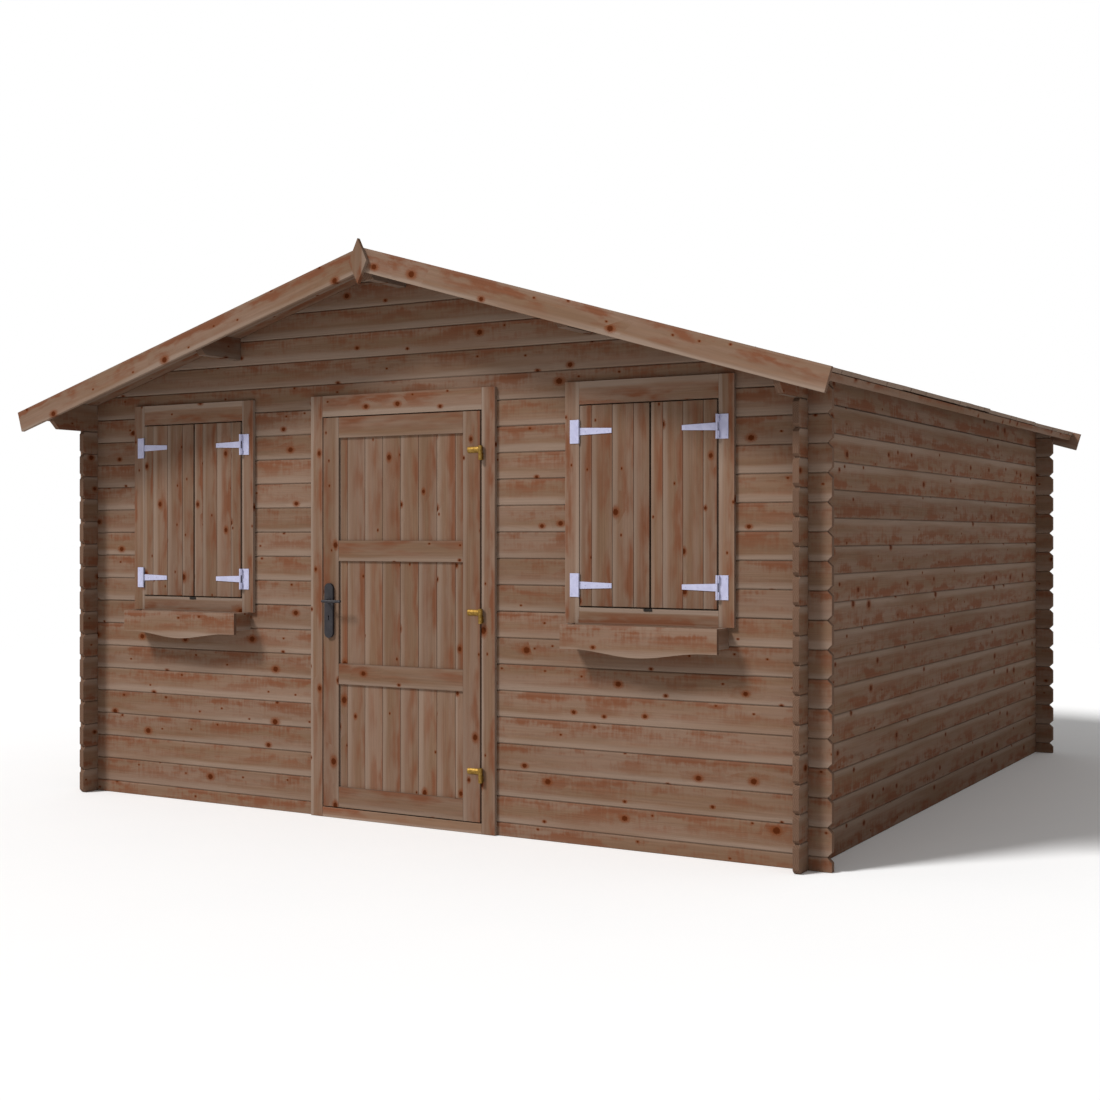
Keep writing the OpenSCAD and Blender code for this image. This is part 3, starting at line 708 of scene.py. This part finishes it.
# %% Camera
camera = bpy.data.objects.new("camera", bpy.data.cameras.new("camera"))
bpy.context.collection.objects.link(camera)
camera.location = (4.219, -7.8725, 1.3393)
camera.rotation_euler = (math.radians(90), 0, math.radians(30.07))
camera.data.lens = 50.94
camera.data.sensor_width = 36
camera.data.shift_y = -0.01268
bpy.context.scene.camera = camera
print("camera", [round(v, 2) for v in camera.location])

# %% [markdown]
# ## Log walls
# Each wall is a stack of logs. Copies of the solids get eased edges, and the grain runs
# along each log. The front and rear walls start with half a log and the side walls with
# a whole one, so their logs are counted from different heights. The side logs lie the
# other way up, with their pale edge on top, so they are measured across downwards.

# %% Log walls
LOG_EDGE = 0.0018  # width of the easing
half_log_walls = ("front_wall_left_base", "front_wall_left_piers", "front_wall_right_base",
                  "front_wall_right_piers", "front_gable", "rear_wall", "rear_gable")
for node in half_log_walls:
    wall = eased(node, node + "_logs", LOG_EDGE)
    hand_over(lay_grain(wall, X, Z, COURSE, -COURSE / 2), log_pine, "house", node)
    print(node, len(wall.data.polygons), "faces")
for node in ("left_wall", "right_wall"):
    wall = eased(node, node + "_logs", LOG_EDGE)
    hand_over(lay_grain(wall, Y, -Z, COURSE, 0), side_pine, "house", node)
    print(node, len(wall.data.polygons), "faces")

# %% [markdown]
# ## Purlins, barge boards and finials
# These timbers keep their solids' outline. The grain of a barge board runs down the
# slope, and that of a finial stands upright. The eave logs are the top logs of the side
# walls, so they take those walls' pine and lie the same way up.

# %% Purlins, barge boards and finials
TIMBER_EDGE = 0.002
for node, across, kind in (
        ("eave_log_left", -Z, side_pine), ("eave_log_right", -Z, side_pine),
        ("ridge_purlin", Z, beam_pine), ("purlin_left", Z, beam_pine),
        ("purlin_right", Z, beam_pine), ("eave_battens", Z, batten_pine)):
    timber = eased(node, node + "_timber", TIMBER_EDGE)
    hand_over(lay_grain(timber, Y, across), kind, "house", node)
for end in ("front", "rear"):
    for side, label in ((-1, "left"), (1, "right")):
        node = f"barge_{end}_{label}"
        down_slope = Vector((side * math.cos(PITCH), 0, -math.sin(PITCH)))
        out_of_slope = Vector((side * math.sin(PITCH), 0, math.cos(PITCH)))
        barge = eased(node, node + "_board", TIMBER_EDGE)
        hand_over(lay_grain(barge, down_slope, out_of_slope), barge_pine, "house", node)
finials = eased("finials", "finial_boards", TIMBER_EDGE)
hand_over(lay_grain(finials, Z, -X), finial_pine, "house", "finials")
print("finial faces", len(finials.data.polygons))

# %% [markdown]
# ## The pattern of a roof board
# Roof boards have a tongue on one edge and a groove on the other. Their section is drawn
# as a flat sheet that is cut into three strips: the middle strip loses its end on one
# side and gains a tongue on the other. The sheet is then extruded to the board's length,
# and the two lower edges are bevelled into the V that shows from below.

# %% The pattern of a roof board
ROOF_BOARDS = 40
ROOF_T = 0.0176  # thickness of a roof board
TONGUE = 0.005
V_EDGE = 0.0024
HAIR = 1e-4  # how exactly an edge is found by its place
SHORT_OF_SOLID = 0.001  # the boards end this far inside their solid
roof_low, roof_high = span("roof_right")
board_w = (roof_high.y - roof_low.y - TONGUE) / ROOF_BOARDS
slope_len = (roof_high.x - ROOF_T * math.sin(PITCH)) / math.cos(PITCH) - SHORT_OF_SOLID
bpy.ops.object.select_all(action="DESELECT")
bpy.ops.mesh.primitive_plane_add(size=1)
roof_board = bpy.context.object
roof_board.name = "pattern roof board"
edit(roof_board)
bpy.ops.transform.resize(value=(board_w, ROOF_T, 1))
for place, normal in (((0, ROOF_T / 6, 0), Y), ((0, -ROOF_T / 6, 0), Y),
                      ((TONGUE * 1.2 - board_w / 2, 0, 0), X)):
    bpy.ops.mesh.select_all(action="SELECT")
    bpy.ops.mesh.bisect(plane_co=place, plane_no=normal)
pick_edges(roof_board, lambda a, b: min(a.x, b.x) > board_w / 2 - HAIR
           and max(abs(a.y), abs(b.y)) < ROOF_T / 5)
extrude(TONGUE, 0, 0)
bpy.ops.mesh.select_mode(type="FACE")
bpy.ops.mesh.select_all(action="DESELECT")
leave()
for face in roof_board.data.polygons:
    face.select = abs(face.center.y) < ROOF_T / 6 and face.center.x < TONGUE - board_w / 2
bpy.ops.object.mode_set(mode="EDIT")
bpy.ops.mesh.delete(type="FACE")
bpy.ops.mesh.select_all(action="SELECT")
extrude(0, 0, slope_len)
faces_out()
pick_edges(roof_board, lambda a, b: max(a.y, b.y) < HAIR - ROOF_T / 2
           and abs(abs(a.x) - board_w / 2) < HAIR and abs(a.x - b.x) < HAIR)
bpy.ops.mesh.bevel(offset=V_EDGE, segments=2, affect="EDGES")
leave()
print("roof board", [round(v, 3) for v in roof_board.dimensions])

# %% [markdown]
# ## Laying the roof
# The pattern is copied along the roof. Upper ends are sawn upright, so that the two
# sides meet at the ridge. Lower ends are never quite in line, and on the right eave whole
# runs of boards have sprung off their batten by a few millimetres.

# %% Laying the roof
# Where each run of boards ends, and how far its lower ends have lifted
RUNS = ((-1.27, 0.0025), (-0.28, 0.0055), (0.24, 0.0072), (1.24, 0.003), (9, 0.0004))
PLAY = 0.0003  # space under a board and beside the ridge
UNEVEN = 0.0006  # most that one board lies higher than the next at the eave
SHORTER = 0.003  # most that it is shorter
middle_y = (roof_low.y + roof_high.y) / 2
lay_down = Matrix(((0, 0, 1, 0), (1, 0, 0, 0), (0, 1, 0, 0), (0, 0, 0, 1)))  # length to X


def lay_roof(side, name):
    """All the boards of one side of the roof, side = 1 on the right."""
    rng = random.Random(7 + side)
    lean = Matrix.Rotation(PITCH, 4, "Y")
    facing = Matrix.Rotation(0 if side > 0 else math.pi, 4, "Z")
    to_ridge = Matrix.Translation((0, middle_y, 0)) @ facing @ Matrix.Translation((0, 0, peak))
    boards = []
    for i in range(ROOF_BOARDS):
        y = board_w * (i + 0.5 - ROOF_BOARDS / 2) - TONGUE / 2
        piece = copy_of(roof_board)
        lay_grain(piece, Z, X, seed=f"roof{side}{i}")
        run = next(lift for stop, lift in RUNS if y + middle_y < stop)
        lift = rng.uniform(0, UNEVEN) + (run if side > 0 else 0)
        short = rng.uniform(0, SHORTER)
        for v in piece.data.vertices:
            if v.co.z > slope_len / 2:
                v.co.z -= short
                v.co.y += lift
            else:
                v.co.z -= (v.co.y + ROOF_T / 2) * math.tan(PITCH) - PLAY
        seat = Matrix.Translation((0, y, ROOF_T / 2 + PLAY))
        piece.data.transform(to_ridge @ lean @ seat @ lay_down)
        boards.append(piece)
    return boarding(name, boards)


for side, name in ((1, "roof_boards_right"), (-1, "roof_boards_left")):
    roof = lay_roof(side, name)
    hand_over(roof, roof_pine, "house", name.replace("_boards", ""))
    print(name, len(roof.data.polygons), "faces")

# %% [markdown]
# ## Door
# A framed door: two stiles, four rails between them, and three panels of upright boards
# let into grooves. Every member is its own board with its own grain, so the joints show
# as fine lines. Each panel starts and ends with a board that was ripped to fit.

# %% Door
STILE = 0.092
RAIL = 0.098
GROOVE = 0.008  # how far a panel reaches into the rails
low, high = span("door_leaf")
in_x = high.x - STILE
step = (high.z - low.z - RAIL) / 3
members = [board(sharp, (low.x, low.y, low.z), (-in_x, high.y, high.z), Z, True),
           board(sharp, (in_x, low.y, low.z), (high.x, high.y, high.z), Z)]
rails = [low.z + i * step for i in range(4)]
for z in rails:
    members.append(board(sharp, (-in_x, low.y, z), (in_x, high.y, z + RAIL), X))
hand_over(boarding("door_frame_members", members), door_pine, "door", "door_leaf")

RIPPED, WHOLE = 0.45, 6  # share of a board at each side, and whole boards between
panel_low, panel_high = span("door_panels")
board_x = 2 * in_x / (WHOLE + 2 * RIPPED)
cuts = [-in_x] + [-in_x + (RIPPED + j) * board_x for j in range(WHOLE + 1)] + [in_x]
panels = []
for foot, head in zip(rails, rails[1:]):
    for x0, x1 in zip(cuts, cuts[1:]):
        panels.append(board(soft, (x0, panel_low.y, foot + RAIL - GROOVE),
                            (x1, panel_high.y, head + GROOVE), Z))
hand_over(boarding("door_panel_boards", panels), door_pine, "door", "door_panels")
print("door members", len(members), "panel boards", len(panels))

# %% [markdown]
# ## Casings
# Flat boards cover the gap between the logs and each opening, outside and inside. The
# side boards run the full height, and the short ones sit between them. A window has a
# foot board too, and its pale edges lie towards the opening on the left and at the foot.

# %% Casings
CASING = 0.07  # width of the side and foot boards
HEAD = 0.1  # height of the head board
CASING_T = 0.018
WINDOW_W = 0.796  # over the casings of one window


def casing_boards(x0, x1, z0, z1, foot):
    """Side, head and foot boards round one opening, on both faces of the wall."""
    boards = []
    for y0 in (WALL_Y - CASING_T, WALL_Y + LOG):
        y1 = y0 + CASING_T
        boards.append(board(sharp, (x0, y0, z0), (x0 + CASING, y1, z1), Z, foot))
        boards.append(board(sharp, (x1 - CASING, y0, z0), (x1, y1, z1), Z))
        corner = (x1 - CASING, y1, z1)
        boards.append(board(sharp, (x0 + CASING, y0, z1 - HEAD), corner, X, foot))
        if foot:
            corner = (x1 - CASING, y1, z0 + CASING)
            boards.append(board(sharp, (x0 + CASING, y0, z0), corner, X, foot))
    return boards


low, high = span("door_casing")
boards = casing_boards(low.x, high.x, low.z, high.z, False)
hand_over(boarding("door_casing_boards", boards), casing_pine, "house", "door_casing")
low, high = span("window_casings")
window_edges = (low.x, high.x - WINDOW_W)
boards = []
for x0 in window_edges:
    boards += casing_boards(x0, x0 + WINDOW_W, low.z, high.z, True)
hand_over(boarding("window_casing_boards", boards), casing_pine, "house", "window_casings")
print("window casing boards", len(boards))

# %% [markdown]
# ## Door frame
# Inside the casings a lining closes the cut ends of the logs. A slim stop on it keeps
# the draught out behind the leaf, and the sill lies across the foot.

# %% Door frame
LINING = 0.03
STOP = 0.014
SILL = 0.047
STOP_Y = 0.021  # front of the stop behind the face of the logs
low, high = span("door_frame")
head_z = span("door_casing")[1].z - HEAD
y0, y1 = WALL_Y, high.y
boards = []
for side in (-1, 1):
    outer, inner = side * high.x, side * (high.x - LINING)
    x0, x1 = sorted((outer, inner))
    boards.append(board(sharp, (x0, y0, 0), (x1, y1, high.z), Z))
    x0, x1 = sorted((inner, inner - side * STOP))
    boards.append(board(sharp, (x0, WALL_Y + STOP_Y, SILL), (x1, y1, head_z), Z))
x = high.x - LINING
boards.append(board(sharp, (-x, y0, head_z), (x, y1, high.z), X))
boards.append(board(sharp, (STOP - x, WALL_Y + STOP_Y, head_z - STOP), (x - STOP, y1, head_z), X))
boards.append(board(soft, (-x, low.y, 0), (x, y1, SILL), X))
hand_over(boarding("door_frame_boards", boards), frame_pine_lightened, "house", "door_frame")
print("door frame boards", len(boards))

# %% [markdown]
# ## Windows
# Behind the shutters is a fixed sash in its own lining. Slim beads hold the pane on both
# sides. They meet square, without mitres, as on a plain kit window.

# %% Windows
SASH = 0.04
SASH_Y = 0.013  # front of the sash behind the face of the logs
BEAD = 0.009
low, high = span("window_frames")
glass_low, glass_high = span("window_glass")
opening_low = span("window_casings")[0].z + CASING
boards = []
for edge in window_edges:
    x0, x1 = edge + CASING, edge + WINDOW_W - CASING
    y0, y1 = WALL_Y, WALL_Y + LOG
    for a, b in ((x0 - LINING, x0), (x1, x1 + LINING)):
        boards.append(board(sharp, (a, y0, low.z), (b, y1, high.z), Z))
    for a, b in ((low.z, opening_low), (head_z, high.z)):
        boards.append(board(sharp, (x0, y0, a), (x1, y1, b), X))
    y0, y1 = WALL_Y + SASH_Y, high.y
    for a, b in ((x0, x0 + SASH), (x1 - SASH, x1)):
        boards.append(board(sharp, (a, y0, opening_low), (b, y1, head_z), Z))
    for a, b in ((opening_low, opening_low + SASH), (head_z - SASH, head_z)):
        boards.append(board(sharp, (x0 + SASH, y0, a), (x1 - SASH, y1, b), X))
    x0, x1, z0, z1 = x0 + SASH, x1 - SASH, opening_low + SASH, head_z - SASH
    for y0, y1 in ((glass_low.y - BEAD, glass_low.y), (glass_high.y, glass_high.y + BEAD)):
        for a, b in ((x0, x0 + BEAD), (x1 - BEAD, x1)):
            boards.append(board(soft, (a, y0, z0), (b, y1, z1), Z))
        for a, b in ((z0, z0 + BEAD), (z1 - BEAD, z1)):
            boards.append(board(soft, (x0 + BEAD, y0, a), (x1 - BEAD, y1, b), X))
hand_over(boarding("window_frame_boards", boards), frame_pine_lightened, "house", "window_frames")
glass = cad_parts["window_glass"].data
glass.materials.clear()
glass.materials.append(pane)
print("window boards and beads", len(boards))

# %% [markdown]
# ## Shutters
# Each leaf is upright boards on two ledges, which lie behind its straps and are seen when
# the shutter is open. The boards were ripped to four widths, so a list holds them, and
# they are scaled together to fill the leaf.

# %% Shutters
SHUTTER_T = 0.018
LEDGE = 0.07
LEDGE_IN = 0.026  # how far a ledge stops inside the leaf
STRAP_ROOT = 0.034  # height of a strap at its hinge
leaves = {"left_outer": (60, 100, 102, 74), "left_inner": (55, 93, 93, 61),
          "right_inner": (60, 100, 102, 74), "right_outer": (55, 93, 93, 61)}


def strap_levels(place):
    """Heights of the two straps of a leaf."""
    low, high = span("straps_" + place)
    return low.z + STRAP_ROOT / 2, high.z - STRAP_ROOT / 2


for place, widths in leaves.items():
    node = "shutter_" + place
    low, high = span(node)
    scale = (high.x - low.x) / sum(widths)
    boards, x0 = [], low.x
    for width in widths:
        x1 = x0 + width * scale
        boards.append(board(soft, (x0, low.y, low.z), (x1, low.y + SHUTTER_T, high.z), Z))
        x0 = x1
    for z in strap_levels(place):
        boards.append(board(soft, (low.x + LEDGE_IN, low.y + SHUTTER_T, z - LEDGE / 2),
                            (high.x - LEDGE_IN, high.y, z + LEDGE / 2), X))
    hand_over(boarding(node + "_boards", boards), shutter_pine, node + "_leaf", node)
    print(node, len(widths), "boards")

# %% [markdown]
# ## Screws
# A screw head is a low dome with a socket. A flat disc is extruded to its rim, inset and
# raised for the dome, then inset again and pushed down for the socket. The pattern
# points up, and each copy is turned to face out of its plate.

# %% Screws
SCREW_R = 0.0034
RIM = 0.0004  # height of the rim
SLOPE, DOME = 0.0009, 0.0005  # width and rise of the dome's slope
FLAT = 0.0012  # width of the ring round the socket
SOCKET = 0.0006  # depth of the socket
bpy.ops.object.select_all(action="DESELECT")
bpy.ops.mesh.primitive_circle_add(vertices=14, radius=SCREW_R, fill_type="NGON")
screw = bpy.context.object
screw.name = "pattern screw"
edit(screw)
extrude(0, 0, RIM)
bpy.ops.mesh.inset(thickness=SLOPE)
bpy.ops.transform.translate(value=(0, 0, DOME))
bpy.ops.mesh.inset(thickness=FLAT)
extrude(0, 0, -SOCKET)
faces_out()
leave()


def screws(places):
    """Copies of the screw with their heads towards the front at these places."""
    copies = []
    for place in places:
        piece = copy_of(screw)
        piece.data.transform(Matrix.Translation(place) @ Matrix.Rotation(math.pi / 2, 4, "X"))
        copies.append(piece)
    return copies


print("screw faces", len(screw.data.polygons))

# %% [markdown]
# ## Strap hinges
# The straps and their plates keep their solids' outline. Straps carry three screws each
# and plates four, painted over with the steel. A leaf hinged on its left has its straps
# run to the right, and the other way round. Small stops catch the shutters, painted nearly
# black as a painted shadow below where the leaves meet.

# %% Strap hinges
STEEL_EDGE = 0.0006
STRAP_L = 0.16
STRAP_SCREWS = (0.2, 0.55, 0.9)  # places along a strap, as shares of its length
PLATE = 0.041  # width of a plate
PLATE_SCREWS = [(x, z) for x in (-0.012, 0.012) for z in (-0.038, 0.038)]  # from its middle
PLATE_GAP = 0.001  # between the knuckles and the plate
KNUCKLE = 0.005  # radius of the knuckles
METAL_T = 0.003  # thickness of straps and plates
plate_face = WALL_Y - CASING_T - METAL_T
plates = [eased("shutter_hinge_plates", "hinge_plates_steel", STEEL_EDGE)]
for place in leaves:
    node = "straps_" + place
    low, high = span(node)
    hinged_left = place in ("left_outer", "right_inner")
    pivot, inward = (low.x + KNUCKLE, 1) if hinged_left else (high.x - KNUCKLE, -1)
    levels = strap_levels(place)
    heads = [(pivot + inward * STRAP_L * share, high.y - METAL_T, z)
             for z in levels for share in STRAP_SCREWS]
    steel = join(node + "_steel", [eased(node, node + "_plain", STEEL_EDGE)] + screws(heads))
    hand_over(steel, white_paint, f"shutter_{place}_leaf", node)
    middle = pivot - inward * (KNUCKLE + PLATE / 2 + PLATE_GAP)
    plates += screws([(middle + x, plate_face, level + z)
                      for level in levels for x, z in PLATE_SCREWS])
hand_over(join("hinge_plates_steel", plates), white_paint, "house", "shutter_hinge_plates")
print("plate screws", len(plates) - 1)

# The stops are painted nearly black, a painted shadow below the meeting line of the leaves.
STOP_EDGE = 0.0008
hand_over(eased("shutter_stops", "stops_steel", STOP_EDGE), stop_shadow_paint, "house", "shutter_stops")
print("shutter stops done")

# %% [markdown]
# ## Door furniture
# The lock plate, its lever and the three brass hinges keep their solids' outline, with
# soft edges that catch the light. A round collar is turned for the foot of the lever: its
# section is a small rectangle, rounded at the front and spun about the spindle's axis.

# %% Door furniture
LEVER_R = 0.007
COLLAR_R = 0.0115  # radius to the middle of the collar's ring
COLLAR_W, COLLAR_H = 0.0055, 0.0035  # width and height of the ring
COLLAR_EDGE = 0.0014
low, high = span("door_lever")
spindle = Vector((low.x + LEVER_R, span("door_lock_plate")[0].y, (low.z + high.z) / 2))
bpy.ops.object.select_all(action="DESELECT")
bpy.ops.mesh.primitive_plane_add(size=1)
collar = bpy.context.object
edit(collar)
bpy.ops.transform.resize(value=(COLLAR_W, COLLAR_H, 1))
bpy.ops.transform.translate(value=(COLLAR_R, COLLAR_H / 2, 0))
pick_edges(collar, lambda a, b: min(a.y, b.y) > COLLAR_H / 2)
bpy.ops.mesh.bevel(offset=COLLAR_EDGE, segments=3, affect="EDGES")
bpy.ops.mesh.select_all(action="SELECT")
bpy.ops.mesh.spin(steps=40, angle=2 * math.pi, center=(0, 0, 0), axis=(0, 1, 0))
bpy.ops.mesh.select_all(action="SELECT")
bpy.ops.mesh.remove_doubles(threshold=1e-6)
faces_out()
leave()
collar.data.transform(Matrix.Translation(spindle) @ Matrix.Rotation(math.pi, 4, "X"))
print("collar faces", len(collar.data.polygons))

LOCK_EDGE, LEVER_EDGE, BRASS_EDGE = 0.003, 0.0008, 0.0012
lock = join("lock_plate_metal", [eased("door_lock_plate", "lock_plain", LOCK_EDGE, 3), collar])
hand_over(finish_edges(lock), lock_paint, "door", "door_lock_plate")
lever = eased("door_lever", "lever_metal", LEVER_EDGE)
hand_over(lever, lock_paint, "door_lever_arm", "door_lever")
posts = eased("door_hinge_posts", "hinge_posts_brass", BRASS_EDGE)
hand_over(posts, brass, "house", "door_hinge_posts")
hinge_leaves = eased("door_hinge_leaves", "hinge_leaves_brass", BRASS_EDGE)
hand_over(hinge_leaves, brass, "door", "door_hinge_leaves")
print("brass hinge faces", len(posts.data.polygons) + len(hinge_leaves.data.polygons))

# %% [markdown]
# ## Flower boxes
# The front board is sawn to a shallow wave. A bisect plane at its back cuts it off a copy
# of its solid, which keeps the true wave. The ends, the back and the bottom are plain
# boards behind it, each with its own grain.

# %% Flower boxes
BOX_T = 0.018
BOX_END = 0.104  # height of the front board at its ends
BOX_LIP = 0.018  # how far it hangs below the other boards
for node in ("flower_box_left", "flower_box_right"):
    low, high = span(node)
    back = low.y + BOX_T
    front = merged_copy(node, node + "_front")
    edit(front)
    bpy.ops.mesh.bisect(plane_co=(0, back, 0), plane_no=Y, use_fill=True, clear_outer=True)
    leave()
    foot = high.z - BOX_END + BOX_LIP
    boards = [lay_grain(ease(front, TIMBER_EDGE), X, Z)]
    for x0 in (low.x, high.x - BOX_T):
        boards.append(board(sharp, (x0, back, foot), (x0 + BOX_T, high.y, high.z), Y))
    x0, x1 = low.x + BOX_T, high.x - BOX_T
    boards.append(board(sharp, (x0, high.y - BOX_T, foot), (x1, high.y, high.z), X))
    boards.append(board(sharp, (x0, back, foot), (x1, high.y - BOX_T, foot + BOX_T), X))
    hand_over(boarding(node + "_boards", boards), box_pine, "house", node)
    print(node, len(boards), "boards")

# %% [markdown]
# ## Clearing the patterns
# The patterns have done their work. Left in the scene they would be stray pieces at the
# origin, so they are deleted before the house is finished.

# %% Clearing the patterns
pick(sharp, soft, roof_board, screw)
bpy.ops.object.delete()

# %% [markdown]
# ## Light and floor
# One broad sun from the upper left gives soft-edged shadows, and a white world fills the
# shade. The camera and the glass see that world at full white, while its light on the
# house stays low. The pale floor keeps the shadow, and far from the house it fades to
# white.

# %% Light
SKY = 0.43  # strength of the fill light
sun = bpy.data.objects.new("sun", bpy.data.lights.new("sun", "SUN"))
bpy.context.collection.objects.link(sun)
sun.data.energy = 3.2
sun.data.angle = math.radians(13)
sun_way = Vector((0.72, 1.0, -1.29))  # the way that its light goes
sun.rotation_euler = sun_way.to_track_quat("-Z", "Y").to_euler()

world = bpy.data.worlds.new("sky")
bpy.context.scene.world = world
world.use_nodes = True
tree = world.node_tree
sky_light = tree.nodes["Background"]
path = add(tree, "ShaderNodeLightPath").outputs
seen = maths(tree, "MAXIMUM", path["Is Camera Ray"], path["Is Transmission Ray"])
strength = maths(tree, "MULTIPLY_ADD", seen, 1 - SKY, SKY)
tree.links.new(strength, sky_light.inputs["Strength"])
sky_light.inputs["Color"].default_value = (1, 1, 1, 1)
print("sky strength on the house", SKY)

# %% Floor
FLOOR_R = 60
FADE_START, FADE_END = 7.0, 12.0  # distances over which the floor turns white
BELOW = (0, 0, -0.001)  # just under the house
bpy.ops.object.select_all(action="DESELECT")
bpy.ops.mesh.primitive_circle_add(vertices=64, radius=FLOOR_R, fill_type="NGON", location=BELOW)
floor = bpy.context.object
bpy.ops.object.transform_apply(location=True)
floor.name = "floor"
material, tree, shader = surface("floor")
tree.nodes.remove(shader)
where = add(tree, "ShaderNodeTexCoord").outputs["Object"]
faint = noise(tree, where, (1.5, 1.5, 1.5))
tint = blend(tree, faint, (0.88, 0.88, 0.88, 1), (0.90, 0.895, 0.89, 1))
diffuse = add(tree, "ShaderNodeBsdfDiffuse", [(0, tint)]).outputs[0]
white = add(tree, "ShaderNodeEmission", [(1, 1.0)]).outputs[0]
path = add(tree, "ShaderNodeLightPath").outputs
far = ease_in(tree, length(tree, where), FADE_START, FADE_END)
far = maths(tree, "MULTIPLY", far, path["Is Camera Ray"])
mixed = add(tree, "ShaderNodeMixShader", [(0, far), (1, diffuse), (2, white)]).outputs[0]
tree.links.new(mixed, tree.nodes["Material Output"].inputs["Surface"])
floor.data.materials.append(material)

bpy.context.scene.view_settings.view_transform = "Standard"
print("floor is white beyond", FADE_END, "m")

# %% [markdown]
# ## Finish
# The view layer is brought up to date.

# %% Finish
bpy.context.view_layer.update()
